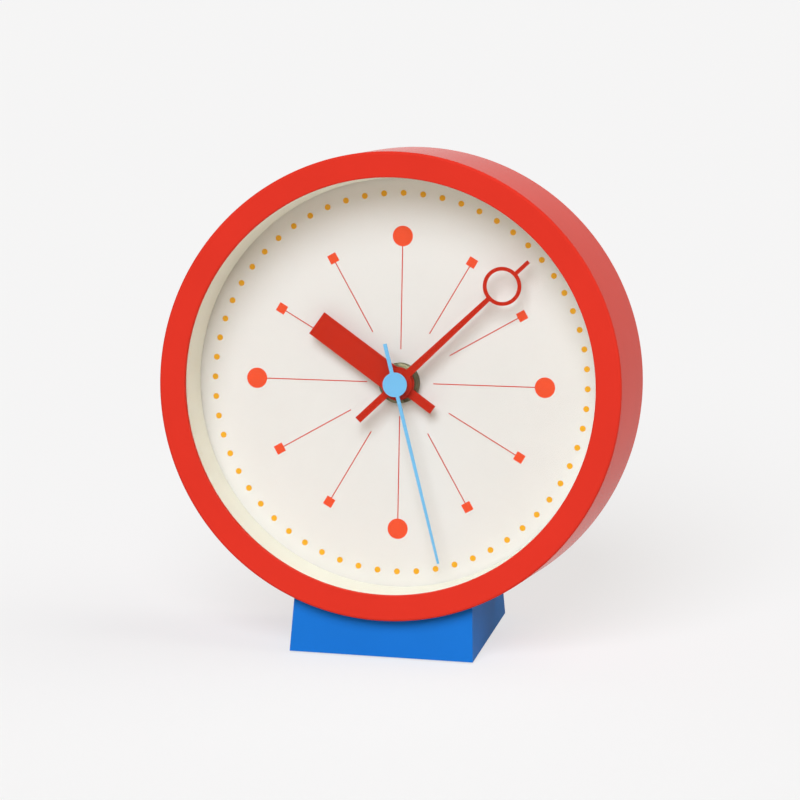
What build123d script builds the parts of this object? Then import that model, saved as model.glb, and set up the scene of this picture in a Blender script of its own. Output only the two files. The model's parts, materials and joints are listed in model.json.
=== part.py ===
from build123d import *
import math
import os

os.makedirs("parts", exist_ok=True)

# A desk clock: a drum with a dial leans back on a block foot, and a quartz movement turns three hands.
# Lengths are in millimetres and angles in degrees. The clock is drawn with X to the right, Y up the dial
# and Z out of the dial's front, from the centre of the dial's front face, and is then leaned back.

# Drum and its front lip
DRUM_R = 59.0
DRUM_WALL = 5.0
LIP_WIDTH = 1.54
LIP_T = 1.5
DRUM_EDGE = 0.7

# What drops into the drum from behind
BORE_FIT = 0.2
GLASS_T = 2.0
RING_DEPTH = 11.3
RING_STEP = 0.46
DIAL_T = 1.0
WASHER_T = 0.5
WASHER_HALF = 9.0

# Lean, foot and pad
LEAN = 9.5
RIM_GAP = 4.3
FOOT_FRONT = 22.9
FOOT_BACK = 21.3
FOOT_WIDTH = 47.2
FOOT_SIDE_LEAN = 3.0
FOOT_FRONT_LEAN = 10.2
FOOT_BACK_LEAN = 11.7
FOOT_BLANK_RISE = 15.0
FOOT_EDGE_R = 0.8
SCOOP_FIT = 0.1
PAD_T = 1.0
PAD_PROUD = 0.3
PAD_MARGIN = 3.0

# Screws under the foot
FOOT_SCREW_SPREAD = 24.0
FOOT_SCREW_R = 1.4
FOOT_SCREW_HEAD_R = 2.8
FOOT_SCREW_HEAD_T = 1.8
FOOT_SCREW_BITE = 3.5
SCREW_FIT = 0.05
SCREW_SIDES = 12

# Hands, from the dial's front
HAND_T = 0.4
HOUR_HAND_Z = 3.0
HAND_STEP = 1.0
SECOND_HAND_RISE = 1.95
MINUTE_ANGLE = 45.0
HOUR_SHOWN = 10
SECOND_ANGLE = 163.9
HOUR_LENGTH = 25.8
HOUR_WIDTH = 6.65
HOUR_TAIL = 11.1
HOUR_TAIL_WIDTH = 2.35
HOUR_HUB_R = 4.25
MINUTE_RING_R = 4.9
MINUTE_RING_WALL = 0.95
MINUTE_TIP_LENGTH = 4.3
MINUTE_MARGIN = 6.0
MINUTE_TIP_WIDTH = 1.0
MINUTE_NECK_WIDTH = 1.2
MINUTE_ROOT_WIDTH = 2.1
MINUTE_TAIL = 13.6
MINUTE_TAIL_WIDTH = 1.8
MINUTE_HUB_R = 3.95
SECOND_MARGIN = 5.6
SECOND_ROOT_WIDTH = 0.95
SECOND_TIP_WIDTH = 0.6
SECOND_TAIL = 10.6
SECOND_DISC_R = 3.1

# Bush and nut that clamp the movement to the dial
BUSH_R = 4.0
BUSH_RISE = 2.6
BUSH_HOLE_FIT = 0.15
NUT_R = 5.15
NUT_T = 2.2
NUT_SLOT_WIDTH = 1.2
NUT_SLOT_DEPTH = 1.0
NUT_SLOT_ANGLE = 154.0

# Shafts
SECOND_ARBOR_R = 0.45
MINUTE_ARBOR_R = 1.65
HOUR_PIPE_R = 2.55
SHAFT_FIT = 0.07
ARBOR_R = 0.4
PIVOT_DEPTH = 0.8
SETTING_SHAFT_R = 1.2

# Gear train: all the train's arbors stand on one ring round the centre
ARBOR_RING_R = 9.1
ROTOR_DISTANCE = 6.6
ARBOR_GAP = 0.5
THIRD_ANGLE = 170.0
INTERMEDIATE_ANGLE = 20.0
ROTOR_ANGLE = 40.0
MOTION_ANGLE = 95.0
ROTOR_LEAVES = 6
INTERMEDIATE_TEETH = 30
INTERMEDIATE_LEAVES = 6
SECOND_TEETH = 36
SECOND_LEAVES = 6
THIRD_TEETH = 45
THIRD_LEAVES = 6
CENTRE_TEETH = 48
CANNON_LEAVES = 8
MOTION_TEETH = 24
MOTION_LEAVES = 6
HOUR_TEETH = 24
TOOTH_ADDENDUM = 1.0
TOOTH_DEDENDUM = 1.6
LEAF_ADDENDUM = 0.8
LEAF_DEDENDUM = 1.2
LEAF_SHARE = 0.4
LEAF_TIP_SHARE = 0.5
WHEEL_T = 0.9
TRAIN_WHEEL_T = 0.7
LEVEL_GAP = 0.5
PINION_OVERHANG = 0.1

# Movement housing
CASE_WALL = 1.2
CASE_CORNER = 2.0
MID_PLATE_T = 0.7
LEDGE = 1.0
LID_RIM_T = 1.0
LID_FIT = 0.15
TRAIN_ROOM = 0.8

# Motor and circuit
MAGNET_R = 2.6
MAGNET_T = 2.2
MAGNET_GAP = 0.4
STATOR_T = 0.8
STATOR_PAD = 4.7
STATOR_LEG = 3.0
STATOR_REACH = 8.5
STATOR_ARM = 6.9
BOBBIN_R = 2.9
BOBBIN_FLANGE_T = 0.8
WINDING_R = 2.5
BOARD_T = 0.8
BOARD_WIDTH = 22.0
BOARD_HEIGHT = 12.5
CHIP_HALF = 2.0
CRYSTAL_R = 1.0
CRYSTAL_LENGTH = 6.0

# Cell, bay and contacts
CELL_R = 7.25
CELL_LENGTH = 50.5
CELL_NUB_R = 2.75
CELL_NUB_LENGTH = 1.3
CELL_ROOM = 0.45
CELL_FLOOR_GAP = 0.2
CONTACT_T = 0.4
CONTACT_HALF = 5.0
SPRING_REACH = 3.1
SPRING_T = 0.3
SPRING_HALF = 3.0

# Rear cover, its screws, the battery door and the knob
BAY_GAP = 0.3
COVER_GAP = 0.2
COVER_T = 1.6
COVER_LEDGE = 3.4
POST_T = 3.0
POST_WIDTH = 8.0
POST_MARGIN = 1.5
RIM_RECESS = 0.7
COVER_SCREWS = 3
COVER_SCREW_R = 0.8
COVER_SCREW_LENGTH = 7.0
COVER_SCREW_HEAD_R = 1.35
COVER_SCREW_HEAD_T = 0.6
DOOR_SEAT = 0.8
DOOR_FIT = 0.3
DOOR_LEG_T = 0.9
DOOR_LEG_LENGTH = 2.5
DOOR_LEG_WIDTH = 6.0
DOOR_LEG_SPREAD = 32.0
DOOR_LEG_FIT = 0.1
DOOR_NOTCH_R = 4.0
KNOB_R = 6.5
KNOB_T = 4.2
KNOB_HUB_R = 3.0
KNOB_PROUD = 1.5
KNOB_RIBS = 24
KNOB_RIB_DEPTH = 0.4
KNOB_ROOM = 1.2
KNOB_GAP = 0.5
SHAFT_IN_KNOB = 2.0

# Radii that follow
BORE_R = DRUM_R - DRUM_WALL
LIP_R = BORE_R - LIP_WIDTH
INSERT_R = BORE_R - BORE_FIT
RING_R = LIP_R - RING_STEP
REBATE_R = BORE_R + COVER_LEDGE
COVER_R = REBATE_R - BORE_FIT
COVER_SCREW_CIRCLE_R = (BORE_R + REBATE_R) / 2
BUSH_BORE_R = HOUR_PIPE_R + SHAFT_FIT
HOUR_BORE_R = MINUTE_ARBOR_R + SHAFT_FIT
MINUTE_BORE_R = SECOND_ARBOR_R + SHAFT_FIT

# Heights in front of the dial
LIP_BACK_Z = RING_DEPTH + GLASS_T
FRONT_Z = LIP_BACK_Z + LIP_T
HOUR_FRONT_Z = HOUR_HAND_Z + HAND_T
MINUTE_HAND_Z = HOUR_FRONT_Z + HAND_STEP
MINUTE_FRONT_Z = MINUTE_HAND_Z + HAND_T
SECOND_HAND_Z = MINUTE_FRONT_Z + SECOND_HAND_RISE

# Levels behind the dial, from front to back
CASE_Z = -(DIAL_T + WASHER_T)
FLOOR_Z = CASE_Z - CASE_WALL
HOUR_Z = FLOOR_Z - LEVEL_GAP
HOUR_BACK_Z = HOUR_Z - WHEEL_T
MOTION_Z = HOUR_BACK_Z - LEVEL_GAP
MOTION_BACK_Z = MOTION_Z - WHEEL_T
MID_Z = MOTION_BACK_Z - LEVEL_GAP
MID_BACK_Z = MID_Z - MID_PLATE_T
CENTRE_Z = MID_BACK_Z - LEVEL_GAP
CENTRE_BACK_Z = CENTRE_Z - TRAIN_WHEEL_T
THIRD_Z = CENTRE_BACK_Z - LEVEL_GAP
THIRD_BACK_Z = THIRD_Z - TRAIN_WHEEL_T
SECOND_Z = THIRD_BACK_Z - LEVEL_GAP
SECOND_BACK_Z = SECOND_Z - TRAIN_WHEEL_T
INTERMEDIATE_Z = SECOND_BACK_Z - LEVEL_GAP
INTERMEDIATE_BACK_Z = INTERMEDIATE_Z - TRAIN_WHEEL_T
LID_Z = INTERMEDIATE_BACK_Z - LEVEL_GAP
LID_BACK_Z = LID_Z - CASE_WALL
CELL_Z = FLOOR_Z - CELL_FLOOR_GAP - CELL_R
BAY_BACK_Z = min(CELL_Z - CELL_R - BAY_GAP, LID_BACK_Z - KNOB_GAP)
COVER_Z = BAY_BACK_Z - COVER_GAP
COVER_BACK_Z = COVER_Z - COVER_T
REAR_Z = COVER_BACK_Z - RIM_RECESS
KNOB_BACK_Z = REAR_Z - KNOB_PROUD

# Gear modules, from the centre distances and the tooth counts
ROTOR_MODULE = 2 * ROTOR_DISTANCE / (ROTOR_LEAVES + INTERMEDIATE_TEETH)
INTERMEDIATE_MODULE = 2 * ARBOR_RING_R / (INTERMEDIATE_LEAVES + SECOND_TEETH)
THIRD_MODULE = 2 * ARBOR_RING_R / (SECOND_LEAVES + THIRD_TEETH)
CENTRE_MODULE = 2 * ARBOR_RING_R / (THIRD_LEAVES + CENTRE_TEETH)
CENTRE_TIP_R = CENTRE_MODULE * (CENTRE_TEETH / 2 + TOOTH_ADDENDUM)
MOTION_DISTANCE = CENTRE_TIP_R + ARBOR_GAP + SETTING_SHAFT_R
MOTION_MODULE = 2 * MOTION_DISTANCE / (CANNON_LEAVES + MOTION_TEETH)
HOUR_MODULE = 2 * MOTION_DISTANCE / (MOTION_LEAVES + HOUR_TEETH)
HOUR_TIP_R = HOUR_MODULE * (HOUR_TEETH / 2 + TOOTH_ADDENDUM)


def polar(radius, angle):
    return Vector(radius * math.cos(math.radians(angle)), radius * math.sin(math.radians(angle)))


THIRD_AT = polar(ARBOR_RING_R, THIRD_ANGLE)
INTERMEDIATE_AT = polar(ARBOR_RING_R, INTERMEDIATE_ANGLE)
ROTOR_AT = INTERMEDIATE_AT + polar(ROTOR_DISTANCE, ROTOR_ANGLE)
MOTION_AT = polar(MOTION_DISTANCE, MOTION_ANGLE)
CENTRE_AT = Vector(0, 0)

# Outline of the movement: the train's room above, the bay for the cell below
TRAIN_FLOOR_Y = -(HOUR_TIP_R + TRAIN_ROOM)
BAY_TOP_Y = TRAIN_FLOOR_Y - CASE_WALL
CELL_Y = BAY_TOP_Y - CELL_ROOM - CELL_R
BAY_HALF_Y = CELL_R + CELL_ROOM
BAY_BOTTOM_Y = CELL_Y - BAY_HALF_Y
CASE_HALF_Y = CASE_WALL - BAY_BOTTOM_Y
TRAIN_TOP_Y = CASE_HALF_Y - CASE_WALL
BAY_HALF_X = (CELL_LENGTH + 2 * CONTACT_T + SPRING_REACH) / 2
CASE_HALF_X = BAY_HALF_X + CASE_WALL
CELL_PLUS_X = BAY_HALF_X - CONTACT_T
CELL_MINUS_X = CELL_PLUS_X - CELL_LENGTH

# Where the leaned clock stands: the box round it is centred on the origin, and the pad is on Z = 0
LEAN_SIN = math.sin(math.radians(LEAN))
LEAN_COS = math.cos(math.radians(LEAN))
AXIS_Y = (LEAN_COS * (FRONT_Z + REAR_Z) - LEAN_SIN * DRUM_EDGE) / 2
AXIS_Z = RIM_GAP + DRUM_R * LEAN_COS - REAR_Z * LEAN_SIN
LEANED = Location((0, AXIS_Y, AXIS_Z), (90 - LEAN, 0, 0))


def disc(radius, z_low, z_high, at=CENTRE_AT):
    return Pos(at.X, at.Y, (z_low + z_high) / 2) * Cylinder(radius, z_high - z_low)


def block(x_low, x_high, y_low, y_high, z_low, z_high):
    middle = Pos((x_low + x_high) / 2, (y_low + y_high) / 2, (z_low + z_high) / 2)
    return middle * Box(x_high - x_low, y_high - y_low, z_high - z_low)


def turned(*profile):
    return revolve(Plane.XZ * Polygon(*profile, align=None), Axis.Z)


def outline(points, z_low, z_high):
    return Pos(0, 0, z_low) * extrude(Polygon(*points, align=None), z_high - z_low)


def prism(radius, z_low, z_high, at):
    """A plain many-sided rod, for screws and for small holes."""
    section = Pos(at.X, at.Y, z_low) * RegularPolygon(radius, SCREW_SIDES)
    return extrude(section, z_high - z_low)


def toothed(teeth, corners, phase, at, z_low, z_high):
    """Extrude a wheel from the corners of one tooth, given as (radius, angle from its middle) pairs."""
    points = []
    for count in range(teeth):
        middle = phase + 360 * count / teeth
        for radius, angle in corners:
            point = at + polar(radius, middle + angle)
            points.append((point.X, point.Y))
    return outline(points, z_low, z_high)


def wheel(teeth, module, phase, at, z_low, z_high):
    pitch_r = module * teeth / 2
    tip_r = pitch_r + TOOTH_ADDENDUM * module
    root_r = pitch_r - TOOTH_DEDENDUM * module
    return toothed(teeth, [(tip_r, 0), (root_r, 180 / teeth)], phase, at, z_low, z_high)


def pinion(leaves, module, phase, at, z_low, z_high):
    pitch_r = module * leaves / 2
    tip_r = pitch_r + LEAF_ADDENDUM * module
    root_r = pitch_r - LEAF_DEDENDUM * module
    half = LEAF_SHARE * 180 / leaves
    tip_half = half * LEAF_TIP_SHARE
    corners = [(root_r, -half), (tip_r, -tip_half), (tip_r, tip_half), (root_r, half)]
    return toothed(leaves, corners, phase, at, z_low, z_high)


def meshing(teeth, phase, at, other_teeth, other_at):
    """Phase that sets a gap of the other gear against a tooth of this one."""
    towards = math.degrees(math.atan2(other_at.Y - at.Y, other_at.X - at.X))
    share = (towards - phase) * teeth / 360
    return towards + 180 - (0.5 - share) * 360 / other_teeth


def arbor(at):
    """An arbor that turns in the mid plate and in a blind hole of the lid."""
    return disc(ARBOR_R, LID_Z - PIVOT_DEPTH, MID_Z, at)


parts = {}

# Drum: a turned tube with a lip in front and a rebate behind for the cover
drum = turned(
    (LIP_R, FRONT_Z),
    (DRUM_R - DRUM_EDGE, FRONT_Z),
    (DRUM_R, FRONT_Z - DRUM_EDGE),
    (DRUM_R, REAR_Z),
    (REBATE_R, REAR_Z),
    (REBATE_R, COVER_Z),
    (BORE_R, COVER_Z),
    (BORE_R, LIP_BACK_Z),
    (LIP_R, LIP_BACK_Z),
)
cover_screw_at = []
for count in range(COVER_SCREWS):
    cover_screw_at.append(polar(COVER_SCREW_CIRCLE_R, 90 + 360 * count / COVER_SCREWS))
for at in cover_screw_at:
    drum -= prism(COVER_SCREW_R + SCREW_FIT, COVER_Z, COVER_Z + COVER_SCREW_LENGTH, at)
parts["case_drum"] = LEANED * drum

# Glass, spacer ring, dial and washer, stacked against the lip
parts["front_glass"] = LEANED * disc(INSERT_R, RING_DEPTH, LIP_BACK_Z)
parts["inner_ring"] = LEANED * (disc(INSERT_R, 0, RING_DEPTH) - disc(RING_R, 0, RING_DEPTH))
bush_hole_r = BUSH_R + BUSH_HOLE_FIT
parts["dial_plate"] = LEANED * (disc(INSERT_R, -DIAL_T, 0) - disc(bush_hole_r, -DIAL_T, 0))
washer = block(-WASHER_HALF, WASHER_HALF, -WASHER_HALF, WASHER_HALF, CASE_Z, -DIAL_T)
parts["dial_washer"] = LEANED * (washer - disc(bush_hole_r, CASE_Z, -DIAL_T))

# Bush through the dial, and the slotted nut on it
bush = disc(BUSH_R, FLOOR_Z, BUSH_RISE) - disc(BUSH_BORE_R, FLOOR_Z, BUSH_RISE)
parts["threaded_bush"] = LEANED * bush
nut = disc(NUT_R, 0, NUT_T) - disc(BUSH_R, 0, NUT_T)
half_slot = NUT_SLOT_WIDTH / 2
nut_slot = block(-half_slot, half_slot, -NUT_R, NUT_R, NUT_T - NUT_SLOT_DEPTH, NUT_T)
nut -= Rot(0, 0, -NUT_SLOT_ANGLE) * nut_slot
parts["dial_nut"] = LEANED * nut


# Hands: flat blanks drawn at twelve o'clock, turned to the time that they show
def at_time(hand, clock_angle):
    return LEANED * Rot(0, 0, -clock_angle) * hand


def bar(width, y_low, y_high, z_low):
    return block(-width / 2, width / 2, y_low, y_high, z_low, z_low + HAND_T)


def blade(root_width, tip_width, y_tip, z_low):
    """A tapered strip from the hand's centre to its tip."""
    root = root_width / 2
    tip = tip_width / 2
    return outline([(-root, 0), (root, 0), (tip, y_tip), (-tip, y_tip)], z_low, z_low + HAND_T)


hour_hand = disc(HOUR_HUB_R, HOUR_HAND_Z, HOUR_FRONT_Z)
hour_hand += bar(HOUR_WIDTH, 0, HOUR_LENGTH, HOUR_HAND_Z)
hour_hand += bar(HOUR_TAIL_WIDTH, -HOUR_TAIL, 0, HOUR_HAND_Z)
hour_hand -= disc(HOUR_PIPE_R, HOUR_HAND_Z, HOUR_FRONT_Z)
HOUR_ANGLE = 30 * HOUR_SHOWN + MINUTE_ANGLE / 12
parts["hour_hand"] = at_time(hour_hand, HOUR_ANGLE)

minute_tip = RING_R - MINUTE_MARGIN
ring_top_y = minute_tip - MINUTE_TIP_LENGTH
ring_at = Vector(0, ring_top_y - MINUTE_RING_R)
neck_y = ring_at.Y - MINUTE_RING_R + MINUTE_RING_WALL / 2
tip_y = ring_top_y - MINUTE_RING_WALL / 2
minute_hand = disc(MINUTE_HUB_R, MINUTE_HAND_Z, MINUTE_FRONT_Z)
minute_hand += blade(MINUTE_ROOT_WIDTH, MINUTE_NECK_WIDTH, neck_y, MINUTE_HAND_Z)
minute_hand += bar(MINUTE_TAIL_WIDTH, -MINUTE_TAIL, 0, MINUTE_HAND_Z)
minute_hand += bar(MINUTE_TIP_WIDTH, tip_y, minute_tip, MINUTE_HAND_Z)
minute_hand += disc(MINUTE_RING_R, MINUTE_HAND_Z, MINUTE_FRONT_Z, ring_at) - disc(
    MINUTE_RING_R - MINUTE_RING_WALL, MINUTE_HAND_Z, MINUTE_FRONT_Z, ring_at
)
minute_hand -= disc(MINUTE_ARBOR_R, MINUTE_HAND_Z, MINUTE_FRONT_Z)
parts["minute_hand"] = at_time(minute_hand, MINUTE_ANGLE)

second_hand = disc(SECOND_DISC_R, SECOND_HAND_Z, SECOND_HAND_Z + HAND_T)
second_hand += blade(SECOND_ROOT_WIDTH, SECOND_TIP_WIDTH, RING_R - SECOND_MARGIN, SECOND_HAND_Z)
second_hand += bar(SECOND_ROOT_WIDTH, -SECOND_TAIL, 0, SECOND_HAND_Z)
parts["second_hand"] = at_time(second_hand, SECOND_ANGLE)

# Phases that set each gear of the train in mesh
intermediate_leaf_phase = meshing(SECOND_TEETH, 0, CENTRE_AT, INTERMEDIATE_LEAVES, INTERMEDIATE_AT)
rotor_phase = meshing(INTERMEDIATE_TEETH, 0, INTERMEDIATE_AT, ROTOR_LEAVES, ROTOR_AT)
third_phase = meshing(SECOND_LEAVES, 0, CENTRE_AT, THIRD_TEETH, THIRD_AT)
centre_phase = meshing(THIRD_LEAVES, 0, THIRD_AT, CENTRE_TEETH, CENTRE_AT)
motion_phase = meshing(CANNON_LEAVES, 0, CENTRE_AT, MOTION_TEETH, MOTION_AT)
hour_phase = meshing(MOTION_LEAVES, 0, MOTION_AT, HOUR_TEETH, CENTRE_AT)

# Rotor: a magnet on a shaft whose pinion drives the intermediate wheel
rotor = pinion(
    ROTOR_LEAVES,
    ROTOR_MODULE,
    rotor_phase,
    ROTOR_AT,
    INTERMEDIATE_BACK_Z - PINION_OVERHANG,
    INTERMEDIATE_Z + PINION_OVERHANG,
)
rotor += arbor(ROTOR_AT)
parts["rotor_pinion"] = LEANED * rotor
magnet_z = MID_BACK_Z - MAGNET_GAP - MAGNET_T
magnet = disc(MAGNET_R, magnet_z, magnet_z + MAGNET_T, ROTOR_AT)
parts["rotor_magnet"] = LEANED * (magnet - disc(ARBOR_R, magnet_z, magnet_z + MAGNET_T, ROTOR_AT))

# Intermediate wheel
intermediate = wheel(
    INTERMEDIATE_TEETH, ROTOR_MODULE, 0, INTERMEDIATE_AT, INTERMEDIATE_BACK_Z, INTERMEDIATE_Z
)
intermediate += pinion(
    INTERMEDIATE_LEAVES,
    INTERMEDIATE_MODULE,
    intermediate_leaf_phase,
    INTERMEDIATE_AT,
    INTERMEDIATE_Z,
    SECOND_Z + PINION_OVERHANG,
)
intermediate += arbor(INTERMEDIATE_AT)
parts["intermediate_wheel"] = LEANED * intermediate

# Second wheel, moulded on the long needle that carries the second hand
second_wheel = wheel(SECOND_TEETH, INTERMEDIATE_MODULE, 0, CENTRE_AT, SECOND_BACK_Z, SECOND_Z)
second_pinion_z = THIRD_Z + PINION_OVERHANG
second_wheel += pinion(SECOND_LEAVES, THIRD_MODULE, 0, CENTRE_AT, SECOND_Z, second_pinion_z)
second_wheel -= disc(SECOND_ARBOR_R, SECOND_BACK_Z, second_pinion_z)
parts["second_wheel"] = LEANED * second_wheel
parts["second_arbor"] = LEANED * disc(SECOND_ARBOR_R, LID_Z - PIVOT_DEPTH, SECOND_HAND_Z)

# Third wheel
third = wheel(THIRD_TEETH, THIRD_MODULE, third_phase, THIRD_AT, THIRD_BACK_Z, THIRD_Z)
third += pinion(THIRD_LEAVES, CENTRE_MODULE, 0, THIRD_AT, THIRD_Z, CENTRE_Z + PINION_OVERHANG)
third += arbor(THIRD_AT)
parts["third_wheel"] = LEANED * third

# Centre wheel, which slips on the minute arbor when the hands are set
centre = wheel(CENTRE_TEETH, CENTRE_MODULE, centre_phase, CENTRE_AT, CENTRE_BACK_Z, CENTRE_Z)
parts["centre_wheel"] = LEANED * (centre - disc(HOUR_BORE_R, CENTRE_BACK_Z, CENTRE_Z))

# Minute arbor: a tube with the cannon pinion in front of the mid plate
minute_back_z = CENTRE_BACK_Z - PINION_OVERHANG
minute_arbor = disc(MINUTE_ARBOR_R, minute_back_z, MINUTE_FRONT_Z)
minute_arbor += pinion(
    CANNON_LEAVES,
    MOTION_MODULE,
    0,
    CENTRE_AT,
    MOTION_BACK_Z - PINION_OVERHANG,
    MOTION_Z + PINION_OVERHANG,
)
minute_arbor -= disc(MINUTE_BORE_R, minute_back_z, MINUTE_FRONT_Z)
parts["minute_arbor"] = LEANED * minute_arbor

# Motion wheel with its pinion, on the shaft that goes back to the knob
knob_front_z = KNOB_BACK_Z + KNOB_T
shaft_end_z = knob_front_z - SHAFT_IN_KNOB
motion = wheel(MOTION_TEETH, MOTION_MODULE, motion_phase, MOTION_AT, MOTION_BACK_Z, MOTION_Z)
motion += pinion(MOTION_LEAVES, HOUR_MODULE, 0, MOTION_AT, MOTION_Z, HOUR_Z + PINION_OVERHANG)
motion += disc(SETTING_SHAFT_R, shaft_end_z, MOTION_BACK_Z, MOTION_AT)
motion += disc(ARBOR_R, HOUR_Z, FLOOR_Z + PIVOT_DEPTH, MOTION_AT)
parts["motion_wheel"] = LEANED * motion

# Hour wheel with its pipe
hour_wheel = wheel(HOUR_TEETH, HOUR_MODULE, hour_phase, CENTRE_AT, HOUR_BACK_Z, HOUR_Z)
hour_wheel += disc(HOUR_PIPE_R, HOUR_BACK_Z, HOUR_FRONT_Z)
hour_wheel -= disc(HOUR_BORE_R, HOUR_BACK_Z, HOUR_FRONT_Z)
parts["hour_wheel"] = LEANED * hour_wheel

# Setting knob: a ribbed disc and a hub on the end of the setting shaft
rib = [(KNOB_R, 0), (KNOB_R - KNOB_RIB_DEPTH, 180 / KNOB_RIBS)]
knob = toothed(KNOB_RIBS, rib, 0, MOTION_AT, KNOB_BACK_Z, knob_front_z)
knob += disc(KNOB_HUB_R, knob_front_z, LID_BACK_Z - KNOB_GAP, MOTION_AT)
knob -= disc(SETTING_SHAFT_R, shaft_end_z, LID_BACK_Z - KNOB_GAP, MOTION_AT)
parts["setting_knob"] = LEANED * knob


def case_blank(z_low, z_high):
    """A block of the movement's size, with its four upright corners cut off."""
    short_x = CASE_HALF_X - CASE_CORNER
    short_y = CASE_HALF_Y - CASE_CORNER
    points = []
    for side_x, side_y in ((1, 1), (-1, 1), (-1, -1), (1, -1)):
        corner = [(side_x * CASE_HALF_X, side_y * short_y), (side_x * short_x, side_y * CASE_HALF_Y)]
        points += corner if side_x == side_y else reversed(corner)
    return outline(points, z_low, z_high)


# Front case of the movement: a tray with the train's room, the mid plate's ledge and the cell's bay
front_case = case_blank(BAY_BACK_Z, CASE_Z)
front_case -= block(-CASE_HALF_X, CASE_HALF_X, TRAIN_FLOOR_Y, CASE_HALF_Y, BAY_BACK_Z, LID_Z)
ledge_x = BAY_HALF_X - LEDGE
ledge_y = TRAIN_TOP_Y - LEDGE
front_case -= block(-ledge_x, ledge_x, TRAIN_FLOOR_Y, ledge_y, LID_Z, FLOOR_Z)
front_case -= block(-BAY_HALF_X, BAY_HALF_X, TRAIN_FLOOR_Y, TRAIN_TOP_Y, LID_Z, MID_Z)
front_case -= block(-BAY_HALF_X, BAY_HALF_X, BAY_BOTTOM_Y, BAY_TOP_Y, BAY_BACK_Z, FLOOR_Z)
front_case -= disc(BUSH_R + SCREW_FIT, FLOOR_Z, CASE_Z)
front_case -= prism(ARBOR_R + SHAFT_FIT, FLOOR_Z, FLOOR_Z + PIVOT_DEPTH + SHAFT_FIT, MOTION_AT)
parts["movement_front_case"] = LEANED * front_case

# Mid plate on the ledge: it carries the front pivots and has a window for the coil
core_y = ledge_y - BOBBIN_R - ARBOR_GAP
stator_z = MID_BACK_Z - STATOR_T
core_z = stator_z - STATOR_T / 2
stator_x = ROTOR_AT.X - STATOR_PAD
stator_right_x = ROTOR_AT.X + STATOR_REACH
arm_x = stator_x - STATOR_ARM
coil_left_x = arm_x + STATOR_LEG
coil_right_x = stator_right_x - STATOR_LEG
arm_y = ROTOR_AT.Y + STATOR_PAD
plate_x = BAY_HALF_X - LID_FIT
mid_plate = block(-plate_x, plate_x, TRAIN_FLOOR_Y + LID_FIT, TRAIN_TOP_Y - LID_FIT, MID_BACK_Z, MID_Z)
window_y = BOBBIN_R + ARBOR_GAP
mid_plate -= block(coil_left_x, coil_right_x, core_y - window_y, core_y + window_y, MID_BACK_Z, MID_Z)
mid_plate -= disc(HOUR_BORE_R, MID_BACK_Z, MID_Z)
mid_plate -= disc(SETTING_SHAFT_R + SHAFT_FIT, MID_BACK_Z, MID_Z, MOTION_AT)
for at in (THIRD_AT, INTERMEDIATE_AT, ROTOR_AT):
    mid_plate -= prism(ARBOR_R + SHAFT_FIT, MID_BACK_Z, MID_Z, at)
parts["movement_mid_plate"] = LEANED * mid_plate

# Lid over the train, with a rim inside the tray and blind holes for the rear pivots
lid_low_y = TRAIN_FLOOR_Y + LID_FIT
lid = case_blank(LID_BACK_Z, LID_Z)
lid -= block(-CASE_HALF_X, CASE_HALF_X, -CASE_HALF_Y, lid_low_y, LID_BACK_Z, LID_Z)
rim_x = BAY_HALF_X - LID_FIT
rim_y = TRAIN_TOP_Y - LID_FIT
rim = block(-rim_x, rim_x, lid_low_y, rim_y, LID_Z, LID_Z + LID_RIM_T)
rim -= block(
    LID_RIM_T - rim_x, rim_x - LID_RIM_T, lid_low_y, rim_y - LID_RIM_T, LID_Z, LID_Z + LID_RIM_T
)
lid += rim
pivot_end_z = LID_Z - PIVOT_DEPTH - SHAFT_FIT
for at in (THIRD_AT, INTERMEDIATE_AT, ROTOR_AT):
    lid -= prism(ARBOR_R + SHAFT_FIT, pivot_end_z, LID_Z, at)
lid -= prism(SECOND_ARBOR_R + SHAFT_FIT, pivot_end_z, LID_Z, CENTRE_AT)
lid -= disc(SETTING_SHAFT_R + SHAFT_FIT, LID_BACK_Z, LID_Z, MOTION_AT)
parts["movement_rear_case"] = LEANED * lid

# Stepping motor: a stator plate round the magnet, an iron core across its legs and the coil on it
stator_low_y = ROTOR_AT.Y - STATOR_PAD + ARBOR_GAP + LEDGE
core_top_y = core_y + STATOR_LEG / 2
stator = block(stator_x, stator_right_x, stator_low_y, arm_y, stator_z, MID_BACK_Z)
stator += block(coil_right_x, stator_right_x, arm_y, core_top_y, stator_z, MID_BACK_Z)
stator += block(arm_x, stator_x + STATOR_LEG, arm_y, arm_y + STATOR_LEG, stator_z, MID_BACK_Z)
stator += block(arm_x, coil_left_x, arm_y, core_top_y, stator_z, MID_BACK_Z)
stator -= disc(MAGNET_R + MAGNET_GAP, stator_z, MID_BACK_Z, ROTOR_AT)
parts["stator"] = LEANED * stator
core_low_y = core_y - STATOR_LEG / 2
core = block(arm_x, stator_right_x, core_low_y, core_top_y, core_z - STATOR_T / 2, core_z + STATOR_T / 2)
parts["coil_core"] = LEANED * core
coil_length = coil_right_x - coil_left_x - 2 * COVER_GAP
along_core = Pos((coil_left_x + coil_right_x) / 2, core_y, core_z) * Rot(0, 90, 0)
coil = along_core * Cylinder(WINDING_R, coil_length)
bobbin = 2 * BOBBIN_R
for side in (-1, 1):
    flange_z = side * (coil_length - BOBBIN_FLANGE_T) / 2
    coil += along_core * Pos(0, 0, flange_z) * Box(bobbin, bobbin, BOBBIN_FLANGE_T)
parts["coil"] = LEANED * (coil - core)

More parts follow.
